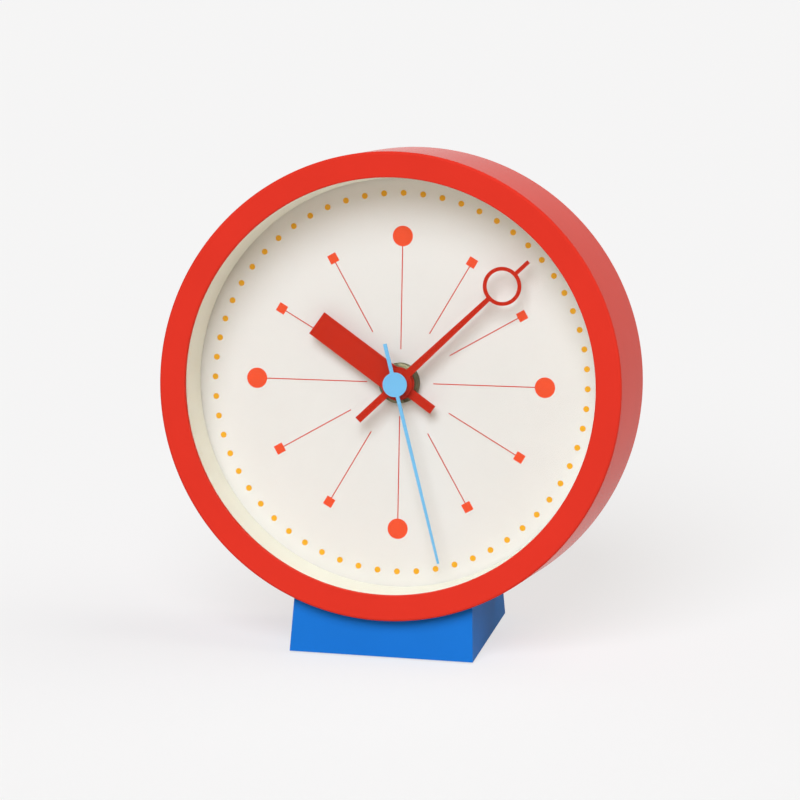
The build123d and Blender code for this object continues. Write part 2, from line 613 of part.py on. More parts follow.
# Circuit board on the mid plate, with the potted chip, and the crystal can
board_x = LID_FIT + LEDGE - BAY_HALF_X
board_y = TRAIN_TOP_Y - LEDGE - BOARD_HEIGHT
board_z = MID_BACK_Z - BOARD_T
board = block(board_x, board_x + BOARD_WIDTH, board_y, board_y + BOARD_HEIGHT, board_z, MID_BACK_Z)
chip_x = board_x + 2 * BOARD_WIDTH / 3
chip_y = board_y + BOARD_HEIGHT / 2
board += block(
    chip_x - CHIP_HALF, chip_x + CHIP_HALF, chip_y - CHIP_HALF, chip_y + CHIP_HALF, board_z - BOARD_T, board_z
)
parts["circuit_board"] = LEANED * board
crystal_at = Pos(board_x + BOARD_WIDTH / 4, board_y + BOARD_HEIGHT / 2, board_z - CRYSTAL_R - SCREW_FIT)
parts["quartz_crystal"] = LEANED * crystal_at * Rot(90, 0, 0) * Cylinder(CRYSTAL_R, CRYSTAL_LENGTH)

# Cell in its bay, between a flat contact and a sprung one
cell_at = Pos(CELL_MINUS_X, CELL_Y, CELL_Z) * Rot(0, 90, 0)
can_length = CELL_LENGTH - CELL_NUB_LENGTH
cell = Pos(0, 0, can_length / 2) * Cylinder(CELL_R, can_length)
cell += Pos(0, 0, can_length + CELL_NUB_LENGTH / 2) * Cylinder(CELL_NUB_R, CELL_NUB_LENGTH)
parts["aa_cell"] = LEANED * cell_at * cell
contact_y = (CELL_Y - CONTACT_HALF, CELL_Y + CONTACT_HALF)
contact_z = (CELL_Z - CONTACT_HALF, CELL_Z + CONTACT_HALF)
parts["contact_positive"] = LEANED * block(CELL_PLUS_X, BAY_HALF_X, *contact_y, *contact_z)
plate_face_x = CONTACT_T - BAY_HALF_X
negative = block(-BAY_HALF_X, plate_face_x, *contact_y, *contact_z)
spring_tip_x = CELL_MINUS_X - SCREW_FIT
leaf = [
    (plate_face_x, CONTACT_HALF),
    (spring_tip_x, SPRING_T),
    (spring_tip_x, -SPRING_T),
    (plate_face_x + SPRING_T, -CONTACT_HALF),
    (plate_face_x + SPRING_T / 2, -CONTACT_HALF),
    (spring_tip_x - SPRING_T, -SPRING_T),
    (spring_tip_x - SPRING_T, SPRING_T / 2),
    (plate_face_x, CONTACT_HALF - 2 * SPRING_T),
]
spring = extrude(Plane.XZ * Polygon(*leaf, align=None), SPRING_HALF, both=True)
negative += Pos(0, CELL_Y, CELL_Z) * spring
parts["contact_negative"] = LEANED * negative

# Rear cover: a plate in the drum's rebate, with posts that press dial, ring and glass to the lip
cover = disc(COVER_R, COVER_BACK_Z, COVER_Z)
post_r = INSERT_R - POST_MARGIN
post = block(post_r - POST_T, post_r, -POST_WIDTH / 2, POST_WIDTH / 2, COVER_Z, -DIAL_T)
for count in range(COVER_SCREWS):
    cover += Rot(0, 0, 90 + 360 * (count + 0.5) / COVER_SCREWS) * post
door_x = BAY_HALF_X + DOOR_SEAT
door_y = BAY_HALF_Y + DOOR_SEAT
cover -= block(-door_x, door_x, CELL_Y - door_y, CELL_Y + door_y, COVER_BACK_Z, COVER_Z)
cover -= disc(KNOB_R + KNOB_ROOM, COVER_BACK_Z, COVER_Z, MOTION_AT)
for at in cover_screw_at:
    cover -= prism(COVER_SCREW_R + SCREW_FIT, COVER_BACK_Z, COVER_Z, at)
parts["rear_cover"] = LEANED * cover

# Screws of the rear cover
cover_screws = []
for at in cover_screw_at:
    screw = prism(COVER_SCREW_R, COVER_BACK_Z, COVER_Z + COVER_SCREW_LENGTH, at)
    screw += prism(COVER_SCREW_HEAD_R, COVER_BACK_Z - COVER_SCREW_HEAD_T, COVER_BACK_Z, at)
    cover_screws.append(LEANED * screw)
parts["rear_cover_screws"] = Compound(cover_screws)

# Battery door: it lies in the cover on the ends of the bay's walls, and four legs guide it into the bay
panel_x = door_x - DOOR_FIT
panel_y = door_y - DOOR_FIT
door = block(-panel_x, panel_x, CELL_Y - panel_y, CELL_Y + panel_y, COVER_BACK_Z, COVER_Z)
leg_outer_y = BAY_HALF_Y - DOOR_LEG_FIT
leg_inner_y = leg_outer_y - DOOR_LEG_T
for leg_x in (-DOOR_LEG_SPREAD / 2, DOOR_LEG_SPREAD / 2):
    for leg_y in (CELL_Y - leg_outer_y, CELL_Y + leg_inner_y):
        door += block(
            leg_x - DOOR_LEG_WIDTH / 2,
            leg_x + DOOR_LEG_WIDTH / 2,
            leg_y,
            leg_y + DOOR_LEG_T,
            COVER_Z,
            COVER_Z + DOOR_LEG_LENGTH,
        )
door -= disc(DOOR_NOTCH_R, COVER_BACK_Z, COVER_Z, Vector(0, CELL_Y + panel_y))
parts["battery_door"] = LEANED * door

# Foot: a block with leaning sides, scooped by the drum, with a recess below for the pad
front_y = AXIS_Y - FOOT_FRONT
back_y = AXIS_Y + FOOT_BACK
foot_top_z = AXIS_Z - DRUM_R + FOOT_BLANK_RISE


def foot_profile(low, high, low_lean, high_lean):
    """Trapezium on the floor between two marks, with each side leaning in by its own angle."""
    corners = []
    for height in (PAD_PROUD, foot_top_z):
        low_in = low + height * math.tan(math.radians(low_lean))
        high_in = high - height * math.tan(math.radians(high_lean))
        corners.append([(low_in, height), (high_in, height)])
    return Polygon(*corners[0], *reversed(corners[1]), align=None)


def drum_underside(x, y, radius):
    """Height at which an upright line meets the underside of a cylinder on the drum's axis."""
    across = -math.sqrt(radius**2 - x**2)
    along = (across * LEAN_SIN - (y - AXIS_Y)) / LEAN_COS
    return AXIS_Z + across * LEAN_COS + along * LEAN_SIN


foot_half = FOOT_WIDTH / 2
foot_side = Plane.YZ * foot_profile(front_y, back_y, FOOT_FRONT_LEAN, FOOT_BACK_LEAN)
foot_front = Plane.XZ * foot_profile(-foot_half, foot_half, FOOT_SIDE_LEAN, FOOT_SIDE_LEAN)
foot = extrude(foot_side, foot_half, both=True) & extrude(foot_front, FOOT_FRONT + FOOT_BACK, both=True)
upright_edges = foot.edges().filter_by(lambda edge: abs((edge @ 1 - edge @ 0).Z) > PAD_T)
foot = fillet(upright_edges, FOOT_EDGE_R)
foot -= LEANED * Cylinder(DRUM_R + SCOOP_FIT, 4 * DRUM_R)
pad_x = foot_half - PAD_MARGIN
pad_y = (front_y + PAD_MARGIN, back_y - PAD_MARGIN)
foot -= block(-pad_x, pad_x, *pad_y, PAD_PROUD, PAD_T)
parts["foot_pad"] = block(-pad_x, pad_x, *pad_y, 0, PAD_T)

# Screws up through the foot into the drum's wall
foot_screw_y = (front_y + back_y) / 2
foot_screws = []
for screw_x in (-FOOT_SCREW_SPREAD / 2, FOOT_SCREW_SPREAD / 2):
    at = Vector(screw_x, foot_screw_y)
    shank_top_z = drum_underside(screw_x, foot_screw_y, DRUM_R - FOOT_SCREW_BITE)
    head_top_z = PAD_T + FOOT_SCREW_HEAD_T
    screw = prism(FOOT_SCREW_R, PAD_T, shank_top_z, at) + prism(FOOT_SCREW_HEAD_R, PAD_T, head_top_z, at)
    foot_screws.append(screw)
    hole = prism(FOOT_SCREW_R + SCREW_FIT, PAD_T, shank_top_z, at)
    foot -= hole + prism(FOOT_SCREW_HEAD_R + SCREW_FIT, PAD_T, head_top_z, at)
    parts["case_drum"] -= hole
parts["foot"] = foot
parts["foot_screws"] = Compound(foot_screws)

for name, solid in parts.items():
    export_step(solid, f"parts/{name}.step")
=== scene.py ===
import json
import math

import bpy
from mathutils import Matrix, Vector


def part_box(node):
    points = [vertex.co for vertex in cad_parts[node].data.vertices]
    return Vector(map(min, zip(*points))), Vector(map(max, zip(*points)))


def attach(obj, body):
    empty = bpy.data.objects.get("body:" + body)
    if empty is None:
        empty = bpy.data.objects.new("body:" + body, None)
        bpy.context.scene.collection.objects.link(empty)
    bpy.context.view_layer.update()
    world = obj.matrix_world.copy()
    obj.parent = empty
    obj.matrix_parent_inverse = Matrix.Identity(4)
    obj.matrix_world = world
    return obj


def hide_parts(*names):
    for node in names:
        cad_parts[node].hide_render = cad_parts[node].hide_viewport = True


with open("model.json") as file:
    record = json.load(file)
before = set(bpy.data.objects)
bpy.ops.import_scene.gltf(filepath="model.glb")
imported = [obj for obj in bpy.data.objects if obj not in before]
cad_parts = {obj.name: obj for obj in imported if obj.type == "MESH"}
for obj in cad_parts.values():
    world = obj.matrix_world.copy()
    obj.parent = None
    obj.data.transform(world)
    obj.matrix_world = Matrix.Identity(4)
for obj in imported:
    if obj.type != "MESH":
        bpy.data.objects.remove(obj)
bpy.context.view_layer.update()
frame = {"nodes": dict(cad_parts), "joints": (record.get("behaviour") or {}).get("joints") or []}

# The camera stands to the right of the clock and a little above it, with a long lens.
# It aims just under the middle of the dial, which is where the second hand's axis comes through.
MM = 0.001
second_turn = next(joint for joint in frame["joints"] if joint["name"] == "second_turn")
DIAL_CENTRE = Vector(second_turn["pos_m"])
CAMERA_AIM = DIAL_CENTRE + Vector((0.2, -1.2, -4.2)) * MM
CAMERA_DISTANCE = 1300 * MM
CAMERA_AZIMUTH = math.radians(11.75)
CAMERA_ELEVATION = math.radians(14.48)
CAMERA_ROLL = math.radians(0.2)
CAMERA_LENS = 231.3
CAMERA_SENSOR = 36.0
CAMERA_NEAR = 10 * MM
CAMERA_FAR = 50.0
backward = Vector(
    (
        math.sin(CAMERA_AZIMUTH) * math.cos(CAMERA_ELEVATION),
        -math.cos(CAMERA_AZIMUTH) * math.cos(CAMERA_ELEVATION),
        math.sin(CAMERA_ELEVATION),
    )
)
sideways = Vector((math.cos(CAMERA_AZIMUTH), math.sin(CAMERA_AZIMUTH), 0))
upward = backward.cross(sideways)
stand = Matrix((sideways, upward, backward)).transposed().to_4x4()
stand.translation = CAMERA_AIM + backward * CAMERA_DISTANCE
camera_data = bpy.data.cameras.new("camera")
camera_data.lens = CAMERA_LENS
camera_data.sensor_width = CAMERA_SENSOR
camera_data.clip_start = CAMERA_NEAR
camera_data.clip_end = CAMERA_FAR
camera = bpy.data.objects.new("camera", camera_data)
bpy.context.scene.collection.objects.link(camera)
camera.matrix_world = stand @ Matrix.Rotation(CAMERA_ROLL, 4, "Z")
bpy.context.scene.camera = camera

# Foot: a solid block with leaning sides, sprayed in blue satin lacquer.
# Its top is scooped to the drum, and two screws from below hold the drum down on it.
FOOT_BLUE = (28, 117, 209)
FOOT_SIDE_LEAN = math.radians(3.0)
FOOT_FRONT_LEAN = math.radians(10.2)
FOOT_BACK_LEAN = math.radians(11.7)
FOOT_EDGE = 0.5 * MM
PAD_MARGIN = 3.0 * MM
PAD_RECESS = 0.7 * MM
SCOOP_RADIUS = 59.1 * MM
SHARP_ANGLE = math.radians(30)
CLOUD_DETAIL = 4
CLOUD_DARKEST = 0.3
CLOUD_LIGHTEST = 0.7
GRAIN_DETAIL = 2
GRAIN_HEIGHT = 0.02 * MM
ROUGHNESS_SWING = 0.05


def srgb(red, green, blue):
    """Colour as it looks on a screen, from 0 to 255, turned into the light that a shader works with."""
    light = []
    for level in (red, green, blue):
        share = level / 255
        light.append(share / 12.92 if share <= 0.04045 else ((share + 0.055) / 1.055) ** 2.4)
    return (*light, 1.0)


def finish(name, colour, drift, cloud, rough, grain, relief, metal=0.0, gloss=0.5):
    """A surface whose colour drifts darker in clouds, with a fine grain that breaks its sheen."""
    material = bpy.data.materials.new(name)
    material.use_nodes = True
    nodes = material.node_tree.nodes
    links = material.node_tree.links
    shader = nodes["Principled BSDF"]
    shader.inputs["Metallic"].default_value = metal
    shader.inputs["Specular IOR Level"].default_value = gloss
    place = nodes.new("ShaderNodeTexCoord")
    clouds = nodes.new("ShaderNodeTexNoise")
    clouds.inputs["Scale"].default_value = cloud
    clouds.inputs["Detail"].default_value = CLOUD_DETAIL
    links.new(place.outputs["Object"], clouds.inputs["Vector"])
    tint = nodes.new("ShaderNodeValToRGB")
    full = srgb(*colour)
    darkest, lightest = tint.color_ramp.elements
    darkest.position = CLOUD_DARKEST
    darkest.color = (*[level * (1 - drift) for level in full[:3]], 1)
    lightest.position = CLOUD_LIGHTEST
    lightest.color = full
    links.new(clouds.outputs["Fac"], tint.inputs["Fac"])
    links.new(tint.outputs["Color"], shader.inputs["Base Color"])
    grains = nodes.new("ShaderNodeTexNoise")
    grains.inputs["Scale"].default_value = grain
    grains.inputs["Detail"].default_value = GRAIN_DETAIL
    links.new(place.outputs["Object"], grains.inputs["Vector"])
    sheen = nodes.new("ShaderNodeMapRange")
    sheen.inputs["To Min"].default_value = rough - ROUGHNESS_SWING
    sheen.inputs["To Max"].default_value = rough + ROUGHNESS_SWING
    links.new(grains.outputs["Fac"], sheen.inputs["Value"])
    links.new(sheen.outputs["Result"], shader.inputs["Roughness"])
    bump = nodes.new("ShaderNodeBump")
    bump.inputs["Strength"].default_value = relief
    bump.inputs["Distance"].default_value = GRAIN_HEIGHT
    links.new(grains.outputs["Fac"], bump.inputs["Height"])
    links.new(bump.outputs["Normal"], shader.inputs["Normal"])
    return material


def dress(piece, material):
    """Give a piece, or a node of the frame, one finish all over."""
    piece.data.materials.clear()
    piece.data.materials.append(material)


def choose(piece):
    """Make a piece the only one that the next operations work on."""
    bpy.ops.object.select_all(action="DESELECT")
    bpy.context.view_layer.objects.active = piece
    piece.select_set(True)


def settle(piece):
    """Put the piece's place into its mesh, and leave its object at the origin."""
    choose(piece)
    bpy.ops.object.transform_apply(location=True, rotation=True, scale=True)


def lean_back(piece):
    """Turn a piece drawn with the dial's axis upright so that it faces the front, leaned as the drum is."""
    axis = Vector(second_turn["axis"])
    lean = math.atan2(-axis.z, axis.y)
    piece.rotation_euler = (math.pi / 2 - lean, 0, 0)
    piece.location = DIAL_CENTRE
    settle(piece)


def combine(piece, tools, operation):
    """Cut tools away from a piece or add them to it, and throw the tools away."""
    choose(piece)
    for tool in tools:
        modifier = piece.modifiers.new("combine", "BOOLEAN")
        modifier.operation = operation
        modifier.solver = "EXACT"
        modifier.object = tool
        bpy.ops.object.modifier_apply(modifier="combine")
        bpy.data.objects.remove(tool)


def shade(piece):
    """Shade a piece smooth up to its sharp edges, and keep its broad faces flat beside rounded ones."""
    choose(piece)
    bpy.ops.object.shade_smooth_by_angle(angle=SHARP_ANGLE)
    modifier = piece.modifiers.new("faces", "WEIGHTED_NORMAL")
    modifier.keep_sharp = True
    bpy.ops.object.modifier_apply(modifier="faces")


def soften(piece, width, steps):
    """Break every sharp edge of a piece, and shade it."""
    choose(piece)
    modifier = piece.modifiers.new("edges", "BEVEL")
    modifier.width = width
    modifier.segments = steps
    modifier.limit_method = "ANGLE"
    modifier.angle_limit = SHARP_ANGLE
    bpy.ops.object.modifier_apply(modifier="edges")
    shade(piece)


def pick(piece, wanted):
    """Go into edit mode with the corners selected whose place passes a test."""
    choose(piece)
    bpy.ops.object.mode_set(mode="EDIT")
    bpy.ops.mesh.select_mode(type="VERT")
    bpy.ops.mesh.select_all(action="DESELECT")
    bpy.ops.object.mode_set(mode="OBJECT")
    for corner in piece.data.vertices:
        corner.select = wanted(corner.co)
    bpy.ops.object.mode_set(mode="EDIT")


def block(size, centre):
    """A plain block of a size round a centre, to be shaped further or to cut with."""
    bpy.ops.object.select_all(action="DESELECT")
    bpy.ops.mesh.primitive_cube_add(size=1, location=centre)
    blank = bpy.context.object
    blank.scale = size
    settle(blank)
    return blank


def rod(radius, low, high, x=0.0, y=0.0, around=96):
    """A round blank along the dial's axis, from one height to another."""
    bpy.ops.object.select_all(action="DESELECT")
    middle = (x, y, (low + high) / 2)
    bpy.ops.mesh.primitive_cylinder_add(vertices=around, radius=radius, depth=high - low, location=middle)
    settle(bpy.context.object)
    return bpy.context.object


foot_low, foot_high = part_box("foot")
blank_height = foot_high.z - foot_low.z
foot_size = foot_high - foot_low
front_in = blank_height * math.tan(FOOT_FRONT_LEAN)
back_in = blank_height * math.tan(FOOT_BACK_LEAN)
narrower = 1 - 2 * blank_height * math.tan(FOOT_SIDE_LEAN) / foot_size.x
shallower = 1 - (front_in + back_in) / foot_size.y
foot = block(foot_size, (foot_low + foot_high) / 2)
foot.name = "foot_block"
pick(foot, lambda corner: corner.z > foot_low.z + blank_height / 2)
top_middle = (0, (foot_low.y + foot_high.y) / 2, foot_high.z)
bpy.ops.transform.resize(value=(narrower, shallower, 1), center_override=top_middle)
bpy.ops.transform.translate(value=(0, (front_in - back_in) / 2, 0))
bpy.ops.object.mode_set(mode="OBJECT")
pick(foot, lambda corner: corner.z < foot_low.z + blank_height / 2)
bpy.ops.mesh.select_mode(type="FACE")
bpy.ops.mesh.inset(thickness=PAD_MARGIN, depth=-PAD_RECESS)
bpy.ops.object.mode_set(mode="OBJECT")
scoop = rod(SCOOP_RADIUS, -2 * SCOOP_RADIUS, 2 * SCOOP_RADIUS, around=256)
lean_back(scoop)
combine(foot, [scoop], "DIFFERENCE")
soften(foot, FOOT_EDGE, steps=3)
blue_lacquer = finish(
    "blue_lacquer", FOOT_BLUE, drift=0.05, cloud=60, rough=0.45, grain=2600, relief=0.10, gloss=0.03
)
dress(foot, blue_lacquer)
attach(foot, "clock")
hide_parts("foot")

# Under the foot: a black rubber sheet in a shallow recess keeps the clock from sliding.
# It hides two steel screws that go up through the foot into the drum's wall.
RUBBER_BLACK = (26, 26, 27)
STEEL_GREY = (176, 177, 180)
rubber = finish("black_rubber", RUBBER_BLACK, drift=0.25, cloud=300, rough=0.75, grain=4000, relief=0.35)
steel = finish(
    "ground_steel", STEEL_GREY, drift=0.12, cloud=900, rough=0.34, grain=5000, relief=0.25, metal=1.0
)
dress(frame["nodes"]["foot_pad"], rubber)
dress(frame["nodes"]["foot_screws"], steel)

# Drum: one turned tube in red satin lacquer, with a flat front ring and a lip that the glass lies against.
# The front edge is rounded by the lacquer and the lip's edge is broken; the back is rebated for its cover.
DRUM_RED = (221, 54, 40)
DRUM_RADIUS = 59.0 * MM
DRUM_FRONT = 14.8 * MM
DRUM_REAR = -20.2 * MM
LIP_RADIUS = 52.46 * MM
LIP_BACK = 13.3 * MM
BORE_RADIUS = 54.0 * MM
REBATE_RADIUS = 57.4 * MM
REBATE_FRONT = -17.9 * MM
DRUM_EDGE = 0.7 * MM
LIP_EDGE = 0.35 * MM
LACQUER_BLOOM = 0.03
BLOOM_ROUGHNESS = 0.4
BLOOM_TINT = (1.0, 0.6, 0.2, 1.0)


def lathe(name, profile, around=256):
    """Pull a circle from point to point round a closed (radius, height) profile."""
    radius, height = profile[0]
    bpy.ops.object.select_all(action="DESELECT")
    bpy.ops.mesh.primitive_circle_add(vertices=around, radius=radius, location=(0, 0, height))
    piece = bpy.context.object
    piece.name = name
    settle(piece)
    bpy.ops.object.mode_set(mode="EDIT")
    bpy.ops.mesh.select_mode(type="EDGE")
    bpy.ops.mesh.select_all(action="SELECT")
    for next_radius, next_height in profile[1:]:
        bpy.ops.mesh.extrude_edges_move(TRANSFORM_OT_translate={"value": (0, 0, next_height - height)})
        grow = next_radius / radius
        bpy.ops.transform.resize(value=(grow, grow, 1), center_override=(0, 0, 0))
        radius, height = next_radius, next_height
    bpy.ops.mesh.select_all(action="DESELECT")
    bpy.ops.mesh.select_non_manifold()
    bpy.ops.mesh.bridge_edge_loops()
    bpy.ops.mesh.select_all(action="SELECT")
    bpy.ops.mesh.normals_make_consistent(inside=False)
    bpy.ops.object.mode_set(mode="OBJECT")
    return piece


def round_ring(piece, radius, height, width, steps):
    """Round the one circular edge of a turned piece that lies at a radius and a height."""
    near = 0.05 * MM
    bpy.ops.object.mode_set(mode="EDIT")
    bpy.ops.mesh.select_mode(type="EDGE")
    bpy.ops.mesh.select_all(action="DESELECT")
    bpy.ops.object.mode_set(mode="OBJECT")
    for edge in piece.data.edges:
        ends = [piece.data.vertices[index].co for index in edge.vertices]
        edge.select = all(
            abs(math.hypot(end.x, end.y) - radius) < near and abs(end.z - height) < near for end in ends
        )
    bpy.ops.object.mode_set(mode="EDIT")
    bpy.ops.mesh.bevel(offset=width, segments=steps, affect="EDGES")
    bpy.ops.object.mode_set(mode="OBJECT")


drum = lathe(
    "drum_shell",
    [
        (LIP_RADIUS, DRUM_FRONT),
        (DRUM_RADIUS, DRUM_FRONT),
        (DRUM_RADIUS, DRUM_REAR),
        (REBATE_RADIUS, DRUM_REAR),
        (REBATE_RADIUS, REBATE_FRONT),
        (BORE_RADIUS, REBATE_FRONT),
        (BORE_RADIUS, LIP_BACK),
        (LIP_RADIUS, LIP_BACK),
    ],
)
round_ring(drum, DRUM_RADIUS, DRUM_FRONT, DRUM_EDGE, steps=6)
round_ring(drum, DRUM_RADIUS, DRUM_REAR, DRUM_EDGE, steps=6)
round_ring(drum, LIP_RADIUS, DRUM_FRONT, LIP_EDGE, steps=4)
shade(drum)
lean_back(drum)
red_lacquer = finish(
    "red_lacquer", DRUM_RED, drift=0.05, cloud=45, rough=0.16, grain=2600, relief=0.10, gloss=0.0045
)
lacquer_shader = red_lacquer.node_tree.nodes["Principled BSDF"]
lacquer_shader.inputs["Sheen Weight"].default_value = LACQUER_BLOOM
lacquer_shader.inputs["Sheen Roughness"].default_value = BLOOM_ROUGHNESS
lacquer_shader.inputs["Sheen Tint"].default_value = BLOOM_TINT
dress(drum, red_lacquer)
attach(drum, "clock")
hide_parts("case_drum")

# Glass: a flat clear disc that lies against the lip from behind, pressed there by the inner ring.
# Its polish has faint smears that only show where it catches the light.
GLASS_TINT = (90, 96, 94)
GLASS_OPACITY = 0.03
SMEAR_SCALE = 70
SMEAR_CLEAREST = 0.03
SMEAR_DULLEST = 0.09
glass = bpy.data.materials.new("clear_glass")
glass.use_nodes = True
glass_shader = glass.node_tree.nodes["Principled BSDF"]
glass_shader.inputs["Base Color"].default_value = srgb(*GLASS_TINT)
glass_shader.inputs["Alpha"].default_value = GLASS_OPACITY
smears = glass.node_tree.nodes.new("ShaderNodeTexNoise")
smears.inputs["Scale"].default_value = SMEAR_SCALE
smear_place = glass.node_tree.nodes.new("ShaderNodeTexCoord")
smear_range = glass.node_tree.nodes.new("ShaderNodeMapRange")
smear_range.inputs["To Min"].default_value = SMEAR_CLEAREST
smear_range.inputs["To Max"].default_value = SMEAR_DULLEST
glass.node_tree.links.new(smear_place.outputs["Object"], smears.inputs["Vector"])
glass.node_tree.links.new(smears.outputs["Fac"], smear_range.inputs["Value"])
glass.node_tree.links.new(smear_range.outputs["Result"], glass_shader.inputs["Roughness"])
dress(frame["nodes"]["front_glass"], glass)

# Inner ring: a cream moulded wall that keeps the glass and the dial apart.
# It is a little narrower at the dial, for the draft that lets it leave its mould, and undercut at its foot.
RING_CREAM = (251, 252, 236)
RING_OUTER = 53.8 * MM
RING_FRONT_RADIUS = 52.9 * MM
RING_BACK_RADIUS = 51.8 * MM
RING_FRONT = 11.3 * MM
RING_UNDERCUT = 0.6 * MM
RING_UNDERCUT_HEIGHT = 0.8 * MM
ring = lathe(
    "dial_surround",
    [
        (RING_FRONT_RADIUS, RING_FRONT),
        (RING_OUTER, RING_FRONT),
        (RING_OUTER, 0),
        (RING_BACK_RADIUS + RING_UNDERCUT, 0),
        (RING_BACK_RADIUS + RING_UNDERCUT, RING_UNDERCUT_HEIGHT),
        (RING_BACK_RADIUS, RING_UNDERCUT_HEIGHT),
    ],
)
shade(ring)
lean_back(ring)
cream_plastic = finish(
    "cream_plastic", RING_CREAM, drift=0.03, cloud=80, rough=0.4, grain=3000, relief=0.12, gloss=0.5
)
dress(ring, cream_plastic)
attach(ring, "clock")
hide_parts("inner_ring")

# Dial: a thin aluminium disc painted matt cream, and printed in three inks.
# Light red gives twelve hour marks, deep red a fine line to each, and amber a dot for every minute.
DIAL_CREAM = (239, 237, 231)
MARK_RED = (250, 83, 40)
LINE_RED = (218, 58, 34)
DOT_AMBER = (248, 179, 30)
INK_THICKNESS = 0.03 * MM
INK_SIDES = 40
QUARTERS = 4
MINUTES = 60
HOUR_STEP = 30
DOT_RADIUS = 0.76 * MM
DOT_CIRCLE = 48.05 * MM
QUARTER_RADIUS = 2.6 * MM
QUARTER_CIRCLE = 37.16 * MM
QUARTER_LINE_START = 8.5 * MM
HOUR_SQUARE = 2.35 * MM
HOUR_CIRCLE = 35.75 * MM
HOUR_LINE_START = 14.6 * MM
LINE_WIDTH = 0.25 * MM
DIAL_TURN = math.radians(1.13)
cream_dial = finish(
    "cream_dial", DIAL_CREAM, drift=0.02, cloud=70, rough=0.65, grain=3500, relief=0.10, gloss=0.2
)
dress(frame["nodes"]["dial_plate"], cream_dial)


def raise_ink(shape):
    """Give a flat shape the thickness of the ink."""
    settle(shape)
    pick(shape, lambda corner: True)
    bpy.ops.mesh.extrude_region_move(TRANSFORM_OT_translate={"value": (0, 0, INK_THICKNESS)})
    bpy.ops.object.mode_set(mode="OBJECT")
    return shape


def ink_disc(radius, distance):
    """One printed disc at twelve o'clock, as far out from the dial's centre as distance."""
    bpy.ops.object.select_all(action="DESELECT")
    middle = (0, distance, 0)
    bpy.ops.mesh.primitive_circle_add(vertices=INK_SIDES, radius=radius, fill_type="NGON", location=middle)
    return raise_ink(bpy.context.object)


def ink_bar(width, start, end):
    """One printed bar at twelve o'clock that points out from the dial's centre, from start to end."""
    bpy.ops.object.select_all(action="DESELECT")
    bpy.ops.mesh.primitive_plane_add(size=1, location=(0, (start + end) / 2, 0))
    bpy.context.object.scale = (width, end - start, 1)
    return raise_ink(bpy.context.object)


def join(shapes):
    """Make one piece of several."""
    bpy.ops.object.select_all(action="DESELECT")
    for shape in shapes:
        shape.select_set(True)
    bpy.context.view_layer.objects.active = shapes[0]
    bpy.ops.object.join()
    return shapes[0]


def swing(shape, first, count):
    """Turn a shape drawn at twelve o'clock to a clock angle, and repeat it evenly round the dial's axis."""
    shape.rotation_euler = (0, 0, -math.radians(first))
    settle(shape)
    pick(shape, lambda corner: True)
    turn = 2 * math.pi * (count - 1) / count
    bpy.ops.mesh.spin(steps=count - 1, dupli=True, angle=turn, center=(0, 0, 0), axis=(0, 0, 1))
    bpy.ops.mesh.select_all(action="SELECT")
    bpy.ops.mesh.normals_make_consistent(inside=False)
    bpy.ops.object.mode_set(mode="OBJECT")
    return shape


def lay_print(print_shape, name, colour):
    """Lay a finished print on the dial, which sits a little turned in its drum, in matt ink."""
    print_shape.name = name
    print_shape.rotation_euler = (0, 0, DIAL_TURN)
    settle(print_shape)
    lean_back(print_shape)
    ink = finish(
        name + "_ink", colour, drift=0.06, cloud=400, rough=0.65, grain=5000, relief=0.08, gloss=0.2
    )
    dress(print_shape, ink)
    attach(print_shape, "clock")


square_start = HOUR_CIRCLE - HOUR_SQUARE / 2
quarter_mark = ink_disc(QUARTER_RADIUS, QUARTER_CIRCLE)
quarter_line = ink_bar(LINE_WIDTH, QUARTER_LINE_START, QUARTER_CIRCLE - QUARTER_RADIUS)
hour_marks = [swing(quarter_mark, first=0, count=QUARTERS)]
hour_lines = [swing(quarter_line, first=0, count=QUARTERS)]
for first_hour in (HOUR_STEP, 2 * HOUR_STEP):
    hour_square = ink_bar(HOUR_SQUARE, square_start, square_start + HOUR_SQUARE)
    hour_line = ink_bar(LINE_WIDTH, HOUR_LINE_START, square_start)
    hour_marks.append(swing(hour_square, first=first_hour, count=QUARTERS))
    hour_lines.append(swing(hour_line, first=first_hour, count=QUARTERS))
minute_dots = swing(ink_disc(DOT_RADIUS, DOT_CIRCLE), first=0, count=MINUTES)
lay_print(join(hour_marks), "hour_marks", MARK_RED)
lay_print(join(hour_lines), "hour_lines", LINE_RED)
lay_print(minute_dots, "minute_dots", DOT_AMBER)

# Nut: a round nut of dark bronze, turned on a lathe, that clamps the dial to the movement's bush.
# A slot across its face takes the tool that tightens it.
NUT_BRONZE = (122, 115, 86)
NUT_RADIUS = 5.15 * MM
NUT_BORE = 4.0 * MM
NUT_HEIGHT = 2.2 * MM
NUT_CHAMFER = 0.25 * MM
NUT_SLOT_WIDTH = 1.2 * MM
NUT_SLOT_DEPTH = 1.0 * MM
NUT_SLOT_ANGLE = 154.0
NUT_EDGE = 0.05 * MM
NUT_STREAK = 0.9


def turned(metal, streak):
    """Give a metal the fine rings of a lathe tool, which draw its highlights out from the dial's axis."""
    nodes = metal.node_tree.nodes
    links = metal.node_tree.links
    shader = nodes["Principled BSDF"]
    shader.inputs["Anisotropic"].default_value = streak
    offset = nodes.new("ShaderNodeVectorMath")
    offset.operation = "SUBTRACT"
    offset.inputs[1].default_value = DIAL_CENTRE
    links.new(nodes["Texture Coordinate"].outputs["Object"], offset.inputs[0])
    outward = nodes.new("ShaderNodeVectorMath")
    outward.operation = "NORMALIZE"
    links.new(offset.outputs["Vector"], outward.inputs[0])
    links.new(outward.outputs["Vector"], shader.inputs["Tangent"])
    return metal


